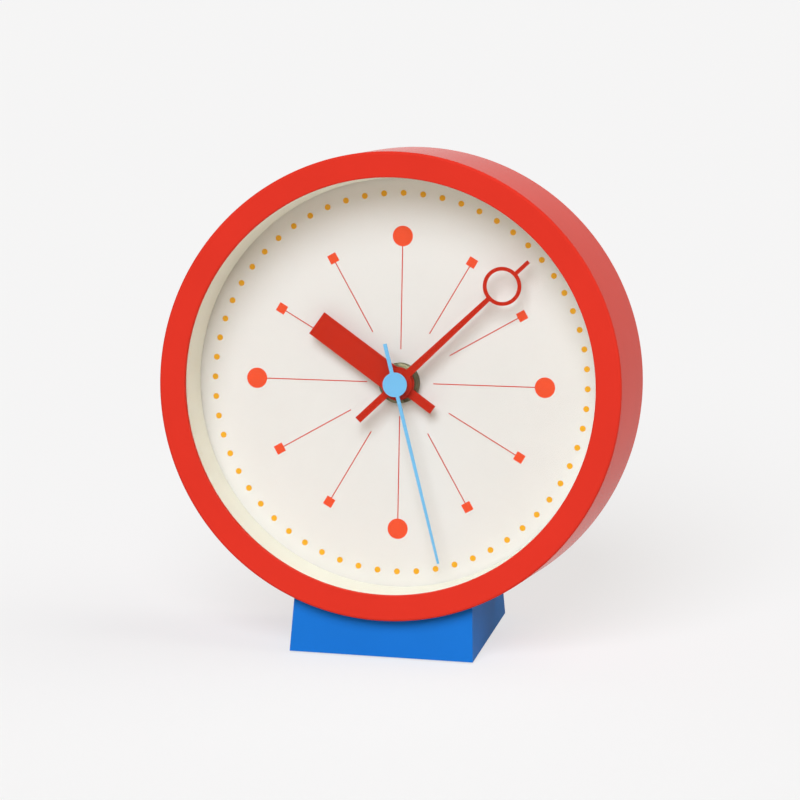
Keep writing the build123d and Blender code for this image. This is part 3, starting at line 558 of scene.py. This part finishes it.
nut = lathe(
    "slotted_nut",
    [(NUT_BORE, NUT_HEIGHT), (NUT_RADIUS, NUT_HEIGHT), (NUT_RADIUS, 0), (NUT_BORE, 0)],
    around=128,
)
round_ring(nut, NUT_RADIUS, NUT_HEIGHT, NUT_CHAMFER, steps=2)
nut_slot = block((NUT_SLOT_WIDTH, 3 * NUT_RADIUS, 2 * NUT_SLOT_DEPTH), (0, 0, NUT_HEIGHT))
nut_slot.rotation_euler = (0, 0, -math.radians(NUT_SLOT_ANGLE))
settle(nut_slot)
combine(nut, [nut_slot], "DIFFERENCE")
soften(nut, NUT_EDGE, steps=1)
lean_back(nut)
bronze = finish(
    "turned_bronze", NUT_BRONZE, drift=0.3, cloud=500, rough=0.36, grain=4000, relief=0.2, metal=1.0
)
dress(nut, turned(bronze, NUT_STREAK))
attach(nut, "clock")
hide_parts("dial_nut")

# Bush and washer: a turned brass bush from the movement passes through the dial and takes the nut.
# A square rubber washer behind the dial keeps it from rattling.
BUSH_BRASS = (176, 148, 92)
brass = finish(
    "drawn_brass", BUSH_BRASS, drift=0.15, cloud=700, rough=0.3, grain=5000, relief=0.2, metal=1.0
)
dress(frame["nodes"]["threaded_bush"], brass)
dress(frame["nodes"]["minute_arbor"], brass)
dress(frame["nodes"]["dial_washer"], rubber)

# Movement housing: a black moulded tray with the cell's bay, a pale plate inside it and a black lid.
# The plate and the lid carry the pivots of the train, and the tray hangs from the bush.
HOUSING_BLACK = (34, 34, 36)
WHEEL_WHITE = (226, 225, 216)
black_plastic = finish(
    "black_plastic", HOUSING_BLACK, drift=0.2, cloud=200, rough=0.5, grain=3500, relief=0.3
)
white_plastic = finish(
    "white_plastic", WHEEL_WHITE, drift=0.05, cloud=250, rough=0.45, grain=3500, relief=0.15
)
dress(frame["nodes"]["movement_front_case"], black_plastic)
dress(frame["nodes"]["movement_rear_case"], black_plastic)
dress(frame["nodes"]["movement_mid_plate"], white_plastic)

# Gear train: white wheels moulded with their pinions, from the rotor to the hour wheel.
# A ground steel needle through the middle of them carries the second hand.
for wheel in (
    "rotor_pinion",
    "intermediate_wheel",
    "second_wheel",
    "third_wheel",
    "centre_wheel",
    "motion_wheel",
    "hour_wheel",
):
    dress(frame["nodes"][wheel], white_plastic)
dress(frame["nodes"]["second_arbor"], steel)

# Stepping motor and circuit: a magnet turns in a steel pole plate, driven by a coil of copper wire.
# A small green board beside it carries the chip and the can of the quartz crystal.
MAGNET_GREY = (74, 74, 78)
COPPER_WIRE = (168, 92, 48)
BOARD_GREEN = (38, 92, 58)
magnet_grey = finish(
    "magnet_grey", MAGNET_GREY, drift=0.2, cloud=900, rough=0.5, grain=5000, relief=0.3, metal=0.6
)
dress(frame["nodes"]["rotor_magnet"], magnet_grey)
dress(frame["nodes"]["stator"], steel)
dress(frame["nodes"]["coil_core"], steel)
copper_wire = finish(
    "copper_wire", COPPER_WIRE, drift=0.25, cloud=2500, rough=0.35, grain=6000, relief=0.5, metal=0.9
)
dress(frame["nodes"]["coil"], copper_wire)
green_board = finish(
    "green_board", BOARD_GREEN, drift=0.2, cloud=600, rough=0.4, grain=4000, relief=0.2
)
dress(frame["nodes"]["circuit_board"], green_board)
dress(frame["nodes"]["quartz_crystal"], steel)

# Cell: a plain AA cell, a steel can in a plain grey sleeve that is rolled in at both ends.
# The raised nub is its plus end, and a flat dished disc its minus end.
SLEEVE_GREY = (138, 142, 148)
CELL_RADIUS = 7.25 * MM
CELL_LENGTH = 50.5 * MM
NUB_RADIUS = 2.75 * MM
NUB_LENGTH = 1.3 * MM
SLEEVE_ROLL = 0.6 * MM
SLEEVE_RIM = 1.1 * MM
END_STEP = 0.4 * MM
SLEEVE_NEAR = 0.01 * MM
CELL_MINUS = Vector((-23.7, -18.476, -10.15)) * MM
can_length = CELL_LENGTH - NUB_LENGTH
cell = rod(CELL_RADIUS, 0, can_length)
cell.name = "plain_cell"
pick(cell, lambda corner: corner.z > can_length / 2)
bpy.ops.mesh.select_mode(type="FACE")
bpy.ops.mesh.inset(thickness=SLEEVE_RIM)
bpy.ops.mesh.inset(thickness=END_STEP, depth=-END_STEP)
bpy.ops.mesh.inset(thickness=CELL_RADIUS - SLEEVE_RIM - END_STEP - NUB_RADIUS)
bpy.ops.mesh.extrude_region_move(TRANSFORM_OT_translate={"value": (0, 0, NUB_LENGTH + END_STEP)})
bpy.ops.object.mode_set(mode="OBJECT")
pick(cell, lambda corner: corner.z < END_STEP)
bpy.ops.mesh.select_mode(type="FACE")
bpy.ops.mesh.inset(thickness=SLEEVE_RIM)
bpy.ops.mesh.inset(thickness=END_STEP, depth=-END_STEP)
bpy.ops.object.mode_set(mode="OBJECT")
round_ring(cell, CELL_RADIUS, 0, SLEEVE_ROLL, steps=4)
round_ring(cell, CELL_RADIUS, can_length, SLEEVE_ROLL, steps=4)
round_ring(cell, NUB_RADIUS, CELL_LENGTH, END_STEP, steps=3)
shade(cell)
grey_sleeve = finish(
    "grey_sleeve", SLEEVE_GREY, drift=0.06, cloud=160, rough=0.35, grain=3500, relief=0.15, metal=0.4
)
dress(cell, grey_sleeve)
cell.data.materials.append(steel)
for face in cell.data.polygons:
    corners = [cell.data.vertices[index].co for index in face.vertices]
    reach = max(math.hypot(corner.x, corner.y) for corner in corners)
    face.material_index = 1 if reach < CELL_RADIUS - SLEEVE_RIM + SLEEVE_NEAR else 0
cell.rotation_euler = (0, math.pi / 2, 0)
cell.location = CELL_MINUS
settle(cell)
lean_back(cell)
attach(cell, "clock")
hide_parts("aa_cell")

# Contacts: a flat strip at the plus end of the bay, and a folded leaf spring at the minus end.
# Both are cut from thin nickel-plated steel.
CONTACT_NICKEL = (190, 188, 180)
nickel = finish(
    "nickel_plate", CONTACT_NICKEL, drift=0.1, cloud=800, rough=0.25, grain=5000, relief=0.15, metal=1.0
)
dress(frame["nodes"]["contact_positive"], nickel)
dress(frame["nodes"]["contact_negative"], nickel)

# Hands: stamped from thin sheet and painted, red for hours and minutes, sky blue for the seconds.
# Each is drawn at twelve o'clock on the dial's axis and then turned to the time that it shows.
HAND_RED = (201, 36, 4)
HAND_BLUE = (122, 197, 244)
HAND_THICKNESS = 0.4 * MM
HAND_EDGE = 0.07 * MM
OVERLAP = 1.0 * MM
HOUR_SHOWN = 10
MINUTE_ANGLE = 45.0
SECOND_ANGLE = 163.9


def plate_bar(root_width, tip_width, start, end, height):
    """A straight or tapered blank on the hand's line."""
    middle = (0, (start + end) / 2, height + HAND_THICKNESS / 2)
    bar = block((root_width, end - start, HAND_THICKNESS), middle)
    pick(bar, lambda corner: corner.y > (start + end) / 2)
    bpy.ops.transform.resize(value=(tip_width / root_width, 1, 1), center_override=(0, end, 0))
    bpy.ops.object.mode_set(mode="OBJECT")
    return bar


def hang_hand(hand, angle, name, paint, body, node):
    """Turn a hand to its time, break its edges, paint it and put it on its arbor."""
    hand.name = name
    hand.rotation_euler = (0, 0, -math.radians(angle))
    settle(hand)
    lean_back(hand)
    soften(hand, HAND_EDGE, steps=2)
    dress(hand, paint)
    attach(hand, body)
    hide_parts(node)


red_hand_paint = finish(
    "red_hand_paint", HAND_RED, drift=0.05, cloud=120, rough=0.5, grain=3500, relief=0.10, gloss=0.1
)
blue_hand_paint = finish(
    "blue_hand_paint", HAND_BLUE, drift=0.04, cloud=120, rough=0.5, grain=3500, relief=0.10, gloss=0.1
)

# Hour hand: a broad parallel blade from its hub, with a short tail.
# Its hub is pressed on the pipe of the hour wheel.
HOUR_HEIGHT = 3.0 * MM
HOUR_HUB_RADIUS = 4.25 * MM
HOUR_PIPE_RADIUS = 2.55 * MM
HOUR_WIDTH = 6.65 * MM
HOUR_LENGTH = 25.8 * MM
HOUR_TAIL_WIDTH = 2.35 * MM
HOUR_TAIL = 11.1 * MM
hour_hand = rod(HOUR_HUB_RADIUS, HOUR_HEIGHT, HOUR_HEIGHT + HAND_THICKNESS)
hour_blade = plate_bar(HOUR_WIDTH, HOUR_WIDTH, 0, HOUR_LENGTH, HOUR_HEIGHT)
hour_tail = plate_bar(HOUR_TAIL_WIDTH, HOUR_TAIL_WIDTH, -HOUR_TAIL, 0, HOUR_HEIGHT)
combine(hour_hand, [hour_blade, hour_tail], "UNION")
pipe_hole = rod(HOUR_PIPE_RADIUS, HOUR_HEIGHT - OVERLAP, HOUR_HEIGHT + OVERLAP)
combine(hour_hand, [pipe_hole], "DIFFERENCE")
hour_angle = (HOUR_SHOWN + MINUTE_ANGLE / 360) * HOUR_STEP
hang_hand(hour_hand, hour_angle, "hour_blade", red_hand_paint, "hour_work", "hour_hand")

# Minute hand: a slim blade that ends in an open ring, with a short point beyond it and a tail.
# Its hub is pressed on the brass minute arbor, in front of the hour hand.
MINUTE_HEIGHT = 4.4 * MM
MINUTE_HUB_RADIUS = 3.95 * MM
MINUTE_ARBOR_RADIUS = 1.65 * MM
MINUTE_RING_RADIUS = 4.9 * MM
MINUTE_RING_HOLE = 3.95 * MM
MINUTE_RING_CENTRE = 36.8 * MM
MINUTE_TIP = 46.0 * MM
MINUTE_ROOT_WIDTH = 2.1 * MM
MINUTE_NECK_WIDTH = 1.2 * MM
MINUTE_TIP_WIDTH = 1.0 * MM
MINUTE_TAIL_WIDTH = 1.8 * MM
MINUTE_TAIL = 13.6 * MM
ring_middle = (MINUTE_RING_RADIUS + MINUTE_RING_HOLE) / 2
minute_front = MINUTE_HEIGHT + HAND_THICKNESS
minute_hand = rod(MINUTE_HUB_RADIUS, MINUTE_HEIGHT, minute_front)
minute_ring = rod(MINUTE_RING_RADIUS, MINUTE_HEIGHT, minute_front, y=MINUTE_RING_CENTRE)
ring_hole = rod(MINUTE_RING_HOLE, MINUTE_HEIGHT - OVERLAP, minute_front + OVERLAP, y=MINUTE_RING_CENTRE)
combine(minute_ring, [ring_hole], "DIFFERENCE")
neck = MINUTE_RING_CENTRE - ring_middle
minute_blade = plate_bar(MINUTE_ROOT_WIDTH, MINUTE_NECK_WIDTH, 0, neck, MINUTE_HEIGHT)
minute_tail = plate_bar(MINUTE_TAIL_WIDTH, MINUTE_TAIL_WIDTH, -MINUTE_TAIL, 0, MINUTE_HEIGHT)
point_start = MINUTE_RING_CENTRE + ring_middle
minute_point = plate_bar(MINUTE_TIP_WIDTH, MINUTE_TIP_WIDTH, point_start, MINUTE_TIP, MINUTE_HEIGHT)
combine(minute_hand, [minute_blade, minute_tail, minute_ring, minute_point], "UNION")
arbor_hole = rod(MINUTE_ARBOR_RADIUS, MINUTE_HEIGHT - OVERLAP, minute_front + OVERLAP)
combine(minute_hand, [arbor_hole], "DIFFERENCE")
hang_hand(
    minute_hand, MINUTE_ANGLE, "minute_blade", red_hand_paint, "minute_work", "minute_hand"
)

# Second hand: a thin blue strip that tapers to its tip, with a plain disc at its centre and a tail.
# The disc is pressed on the end of the steel needle that comes through the minute arbor.
SECOND_HEIGHT = 6.75 * MM
SECOND_DISC_RADIUS = 3.1 * MM
SECOND_ROOT_WIDTH = 0.95 * MM
SECOND_TIP_WIDTH = 0.6 * MM
SECOND_LENGTH = 46.4 * MM
SECOND_TAIL = 10.6 * MM
second_hand = rod(SECOND_DISC_RADIUS, SECOND_HEIGHT, SECOND_HEIGHT + HAND_THICKNESS)
second_strip = plate_bar(SECOND_ROOT_WIDTH, SECOND_TIP_WIDTH, 0, SECOND_LENGTH, SECOND_HEIGHT)
second_tail = plate_bar(SECOND_ROOT_WIDTH, SECOND_ROOT_WIDTH, -SECOND_TAIL, 0, SECOND_HEIGHT)
combine(second_hand, [second_strip, second_tail], "UNION")
hang_hand(
    second_hand, SECOND_ANGLE, "second_strip", blue_hand_paint, "second_train", "second_hand"
)

# Back plate: a red moulded disc that lies in the drum's rebate, with a groove round it.
# It has an opening for the door and a dished hole for the knob, and three posts inside it
# press the dial, the ring and the glass against the lip.
COVER_RED = (186, 44, 34)
COVER_RADIUS = 57.2 * MM
COVER_BACK = -19.5 * MM
COVER_FRONT = -17.9 * MM
COVER_EDGE = 0.25 * MM
GROOVE_RADIUS = 51.5 * MM
GROOVE_WIDTH = 0.7 * MM
GROOVE_DEPTH = 0.4 * MM
POST_CIRCLE = 50.8 * MM
POST_WIDTH = 8.0 * MM
POST_THICKNESS = 3.0 * MM
POST_END = -1.0 * MM
POST_DRAFT = 0.92
POSTS = 3
FIRST_POST_ANGLE = 60
SCREWS = 3
SCREW_CIRCLE = 55.7 * MM
SCREW_HOLE_RADIUS = 0.95 * MM
DOOR_MIDDLE = -18.476 * MM
OPENING_WIDTH = 56.0 * MM
OPENING_HEIGHT = 17.0 * MM
OPENING_CORNER = 1.0 * MM
OPENING_CUT = 8.0 * MM
KNOB_X = -0.8825 * MM
KNOB_Y = 10.087 * MM
KNOB_HOLE_RADIUS = 7.7 * MM
DISH_RADIUS = 11.5 * MM
DISH_DEPTH = 0.6 * MM
DISH_FLAT = 1.0 * MM
CORNER_STEPS = 5


def round_corners(blank, radius):
    """Round the four edges of a block that run along the dial's axis."""
    pick(blank, lambda corner: False)
    bpy.ops.mesh.select_mode(type="EDGE")
    bpy.ops.object.mode_set(mode="OBJECT")
    for edge in blank.data.edges:
        first, last = [blank.data.vertices[index].co for index in edge.vertices]
        edge.select = abs(first.z - last.z) > max(abs(first.x - last.x), abs(first.y - last.y))
    bpy.ops.object.mode_set(mode="EDIT")
    bpy.ops.mesh.bevel(offset=radius, segments=CORNER_STEPS, affect="EDGES")
    bpy.ops.object.mode_set(mode="OBJECT")


cover = rod(COVER_RADIUS, COVER_BACK, COVER_FRONT, around=256)
cover.name = "back_plate"
post_root = COVER_FRONT - OVERLAP
post_size = (POST_WIDTH, POST_THICKNESS, POST_END - post_root)
posts = block(post_size, (0, POST_CIRCLE, (post_root + POST_END) / 2))
pick(posts, lambda corner: corner.z > COVER_FRONT)
bpy.ops.transform.resize(value=(POST_DRAFT, POST_DRAFT, 1), center_override=(0, POST_CIRCLE, POST_END))
bpy.ops.object.mode_set(mode="OBJECT")
combine(cover, [swing(posts, first=FIRST_POST_ANGLE, count=POSTS)], "UNION")
opening = block((OPENING_WIDTH, OPENING_HEIGHT, OPENING_CUT), (0, DOOR_MIDDLE, COVER_BACK))
round_corners(opening, OPENING_CORNER)
knob_dish = rod(DISH_RADIUS, COVER_BACK - DISH_DEPTH, COVER_BACK + DISH_DEPTH, KNOB_X, KNOB_Y)
pick(knob_dish, lambda corner: corner.z > COVER_BACK)
dish_floor = (KNOB_HOLE_RADIUS + DISH_FLAT) / DISH_RADIUS
bpy.ops.transform.resize(value=(dish_floor, dish_floor, 1), center_override=(KNOB_X, KNOB_Y, 0))
bpy.ops.object.mode_set(mode="OBJECT")
hole_start = COVER_BACK - OVERLAP
hole_end = COVER_FRONT + OVERLAP
knob_hole = rod(KNOB_HOLE_RADIUS, hole_start, hole_end, KNOB_X, KNOB_Y)
screw_holes = rod(SCREW_HOLE_RADIUS, hole_start, hole_end, y=SCREW_CIRCLE, around=24)
swing(screw_holes, first=0, count=SCREWS)
groove = lathe(
    "groove",
    [
        (GROOVE_RADIUS, hole_start),
        (GROOVE_RADIUS + GROOVE_WIDTH, hole_start),
        (GROOVE_RADIUS + GROOVE_WIDTH, COVER_BACK + GROOVE_DEPTH),
        (GROOVE_RADIUS, COVER_BACK + GROOVE_DEPTH),
    ],
)
combine(cover, [opening, knob_dish, knob_hole, screw_holes, groove], "DIFFERENCE")
soften(cover, COVER_EDGE, steps=2)
lean_back(cover)
cover_plastic = finish(
    "cover_plastic", COVER_RED, drift=0.06, cloud=120, rough=0.55, grain=2200, relief=0.35
)
dress(cover, cover_plastic)
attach(cover, "clock")
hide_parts("rear_cover")

# Cover screws: three small steel screws with domed heads, slotted crosswise.
# They go through the back plate into the drum's wall.
SCREW_HEAD_RADIUS = 1.35 * MM
SCREW_HEAD_BACK = -20.1 * MM
SCREW_DOME = 0.3 * MM
SCREW_RADIUS = 0.8 * MM
SCREW_TIP = -10.9 * MM
SCREW_POINT = 1.2 * MM
SCREW_POINT_TAPER = 0.4
CROSS_LENGTH = 1.6 * MM
CROSS_WIDTH = 0.36 * MM
CROSS_DEPTH = 0.35 * MM
screws = rod(SCREW_HEAD_RADIUS, SCREW_HEAD_BACK, COVER_BACK, around=32)
screws.name = "cover_screws"
round_ring(screws, SCREW_HEAD_RADIUS, SCREW_HEAD_BACK, SCREW_DOME, steps=4)
shank = rod(SCREW_RADIUS, COVER_BACK - SCREW_DOME, SCREW_TIP - SCREW_POINT, around=24)
pick(shank, lambda corner: corner.z > COVER_BACK)
bpy.ops.mesh.select_mode(type="FACE")
bpy.ops.mesh.extrude_region_move(TRANSFORM_OT_translate={"value": (0, 0, SCREW_POINT)})
bpy.ops.transform.resize(
    value=(SCREW_POINT_TAPER, SCREW_POINT_TAPER, 1), center_override=(0, 0, SCREW_TIP)
)
bpy.ops.object.mode_set(mode="OBJECT")
combine(screws, [shank], "UNION")
cross = block((CROSS_LENGTH, CROSS_WIDTH, 2 * CROSS_DEPTH), (0, 0, SCREW_HEAD_BACK))
other_slot = block((CROSS_WIDTH, CROSS_LENGTH, 2 * CROSS_DEPTH), (0, 0, SCREW_HEAD_BACK))
combine(cross, [other_slot], "UNION")
combine(screws, [cross], "DIFFERENCE")
shade(screws)
screws.location = (0, SCREW_CIRCLE, 0)
settle(screws)
swing(screws, first=0, count=SCREWS)
lean_back(screws)
dress(screws, steel)
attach(screws, "clock")
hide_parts("rear_cover_screws")

# Battery door: a red moulded panel that lies in the back plate's opening and lifts straight out.
# A notch takes a finger nail, raised ribs give grip, and four legs guide it into the cell's bay.
DOOR_WIDTH = 55.4 * MM
DOOR_HEIGHT = 16.4 * MM
DOOR_CORNER = 0.8 * MM
DOOR_EDGE = 0.2 * MM
NOTCH_RADIUS = 4.0 * MM
LEG_SIZE = Vector((6.0, 0.9, 2.5)) * MM
LEG_SPREAD = 32.0 * MM
LEG_OUTER = 7.6 * MM
RIB_SIZE = Vector((16.0, 0.7, 0.7)) * MM
RIB_STEP = 1.6 * MM
RIBS = 5
RIB_FIRST = 2.6 * MM


def rows(shape, count, step):
    """Repeat a shape in a straight row."""
    choose(shape)
    modifier = shape.modifiers.new("row", "ARRAY")
    modifier.count = count
    modifier.use_relative_offset = False
    modifier.use_constant_offset = True
    modifier.constant_offset_displace = step
    bpy.ops.object.modifier_apply(modifier="row")


door_size = (DOOR_WIDTH, DOOR_HEIGHT, COVER_FRONT - COVER_BACK)
door = block(door_size, (0, DOOR_MIDDLE, (COVER_FRONT + COVER_BACK) / 2))
door.name = "door_panel"
round_corners(door, DOOR_CORNER)
notch = rod(NOTCH_RADIUS, hole_start, hole_end, y=DOOR_MIDDLE + DOOR_HEIGHT / 2)
combine(door, [notch], "DIFFERENCE")
leg_low = DOOR_MIDDLE - LEG_OUTER + LEG_SIZE.y / 2
legs = block(LEG_SIZE, (-LEG_SPREAD / 2, leg_low, COVER_FRONT + LEG_SIZE.z / 2 - DOOR_EDGE))
rows(legs, count=2, step=(LEG_SPREAD, 0, 0))
rows(legs, count=2, step=(0, 2 * LEG_OUTER - LEG_SIZE.y, 0))
ribs = block(RIB_SIZE, (0, DOOR_MIDDLE + RIB_FIRST, COVER_BACK))
rows(ribs, count=RIBS, step=(0, -RIB_STEP, 0))
combine(door, [legs, ribs], "UNION")
soften(door, DOOR_EDGE, steps=2)
lean_back(door)
dress(door, cover_plastic)
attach(door, "door")
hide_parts("battery_door")

# Setting knob: a black moulded knob on the end of the setting shaft, turned by finger and thumb.
# Its rim is ribbed and its back dished, and its hub goes in through the back plate's hole.
KNOB_RADIUS = 6.5 * MM
KNOB_BACK = -21.7 * MM
KNOB_FRONT = -17.5 * MM
KNOB_RIBS = 24
RIB_FACETS = 4
KNOB_RIB_DEPTH = 0.4 * MM
KNOB_RIM = 1.0 * MM
KNOB_DISH = 0.7 * MM
KNOB_EDGE = 0.12 * MM
HUB_RADIUS = 3.0 * MM
HUB_FRONT = -13.7 * MM
SHAFT_RADIUS = 1.2 * MM
SHAFT_END = -19.5 * MM
knob_facets = RIB_FACETS * KNOB_RIBS
knob = rod(KNOB_RADIUS, KNOB_BACK, KNOB_FRONT, around=knob_facets)
knob.name = "ribbed_knob"
facet = 2 * math.pi / knob_facets
pick(knob, lambda corner: round(math.atan2(corner.y, corner.x) / facet) % RIB_FACETS >= RIB_FACETS / 2)
valley = 1 - KNOB_RIB_DEPTH / KNOB_RADIUS
bpy.ops.transform.resize(value=(valley, valley, 1), center_override=(0, 0, 0))
bpy.ops.object.mode_set(mode="OBJECT")
pick(knob, lambda corner: corner.z < (KNOB_BACK + KNOB_FRONT) / 2)
bpy.ops.mesh.select_mode(type="FACE")
bpy.ops.mesh.inset(thickness=KNOB_RIM)
bpy.ops.mesh.inset(thickness=KNOB_DISH, depth=-KNOB_DISH)
bpy.ops.object.mode_set(mode="OBJECT")
combine(knob, [rod(HUB_RADIUS, KNOB_FRONT - OVERLAP, HUB_FRONT)], "UNION")
combine(knob, [rod(SHAFT_RADIUS, SHAFT_END, HUB_FRONT + OVERLAP)], "DIFFERENCE")
soften(knob, KNOB_EDGE, steps=2)
knob.location = (KNOB_X, KNOB_Y, 0)
settle(knob)
lean_back(knob)
dress(knob, black_plastic)
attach(knob, "setting_work")
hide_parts("setting_knob")

# Floor: a plain pale sheet of paper that carries on past the picture's edges.
# It is seen mostly as its own even tone, straight or mirrored, with the clock's soft shadow on it.
FLOOR_PALE = (228, 228, 228)
FLOOR_SIZE = 12.0
FLOOR_BELOW = 0.05 * MM
FLOOR_EVENNESS = 0.65
FLOOR_TONE = (0.981, 0.995, 1.018, 1.0)


def reckon(tree, operation, first, second):
    """One step of arithmetic on two amounts, each a plain number or what another node gives."""
    step = tree.nodes.new("ShaderNodeMath")
    step.operation = operation
    for entry, amount in zip(step.inputs, (first, second)):
        if isinstance(amount, float):
            entry.default_value = amount
        else:
            tree.links.new(amount, entry)
    return step.outputs["Value"]


def seen_rays(tree):
    """One for what is seen straight, mirrored or through glass, and none for light on its way to things."""
    rays = tree.nodes.new("ShaderNodeLightPath").outputs
    bounced = reckon(tree, "MAXIMUM", rays["Is Glossy Ray"], rays["Is Transmission Ray"])
    return reckon(tree, "MAXIMUM", rays["Is Camera Ray"], bounced)


def overlay(tree, surface, tone, share):
    """Lay an even tone over a surface, for a share of the light that comes from it."""
    even = tree.nodes.new("ShaderNodeEmission")
    even.inputs["Color"].default_value = tone
    blend = tree.nodes.new("ShaderNodeMixShader")
    tree.links.new(share, blend.inputs["Fac"])
    tree.links.new(surface, blend.inputs[1])
    tree.links.new(even.outputs["Emission"], blend.inputs[2])
    return blend.outputs["Shader"]


bpy.ops.object.select_all(action="DESELECT")
bpy.ops.mesh.primitive_plane_add(size=FLOOR_SIZE, location=(0, 0, -FLOOR_BELOW))
floor = bpy.context.object
floor.name = "floor_sheet"
paper = finish("pale_paper", FLOOR_PALE, drift=0.005, cloud=3, rough=0.9, grain=400, relief=0.02, gloss=0.0)
dress(floor, paper)
sheet = paper.node_tree
lit_paper = sheet.nodes["Principled BSDF"].outputs["BSDF"]
seen = reckon(sheet, "MULTIPLY", seen_rays(sheet), FLOOR_EVENNESS)
toned_paper = overlay(sheet, lit_paper, FLOOR_TONE, seen)
sheet.links.new(toned_paper, sheet.nodes["Material Output"].inputs["Surface"])

# Light: a broad soft lamp high in front and a weaker one high on the right.
# An even warm surround fills the shadows, and shows as a plain pale backdrop.
KEY_STRENGTH = 2.48
KEY_COLOUR = (0.95, 1.03, 1.135)
KEY_SPREAD = math.radians(40)
KEY_FROM = Vector((-0.06, -0.72, 0.69))
RIM_STRENGTH = 1.15
RIM_COLOUR = (1.0, 0.96, 0.90)
RIM_SPREAD = math.radians(50)
RIM_FROM = Vector((0.56, 0.2, 0.8))
SURROUND_COLOUR = (1.0, 0.63, 0.18, 1.0)
SURROUND_STRENGTH = 0.22
BACKGROUND_PALE = (246, 246, 246)


def lamp(name, strength, colour, spread, towards):
    """A far lamp as wide as its spread, seen from the clock in one direction."""
    lamp_data = bpy.data.lights.new(name, "SUN")
    lamp_data.energy = strength
    lamp_data.color = colour
    lamp_data.angle = spread
    hung = bpy.data.objects.new(name, lamp_data)
    bpy.context.scene.collection.objects.link(hung)
    hung.rotation_euler = towards.to_track_quat("Z", "Y").to_euler()


lamp("key_lamp", KEY_STRENGTH, KEY_COLOUR, KEY_SPREAD, KEY_FROM)
lamp("rim_lamp", RIM_STRENGTH, RIM_COLOUR, RIM_SPREAD, RIM_FROM)
world = bpy.data.worlds.new("surround")
world.use_nodes = True
bpy.context.scene.world = world
air = world.node_tree
surround = air.nodes["Background"]
surround.inputs["Color"].default_value = SURROUND_COLOUR
surround.inputs["Strength"].default_value = SURROUND_STRENGTH
backdrop = air.nodes.new("ShaderNodeBackground")
backdrop.inputs["Color"].default_value = srgb(*BACKGROUND_PALE)
air_mix = air.nodes.new("ShaderNodeMixShader")
air.links.new(seen_rays(air), air_mix.inputs["Fac"])
air.links.new(surround.outputs["Background"], air_mix.inputs[1])
air.links.new(backdrop.outputs["Background"], air_mix.inputs[2])
air.links.new(air_mix.outputs["Shader"], air.nodes["World Output"].inputs["Surface"])
bpy.context.scene.view_settings.view_transform = "Standard"
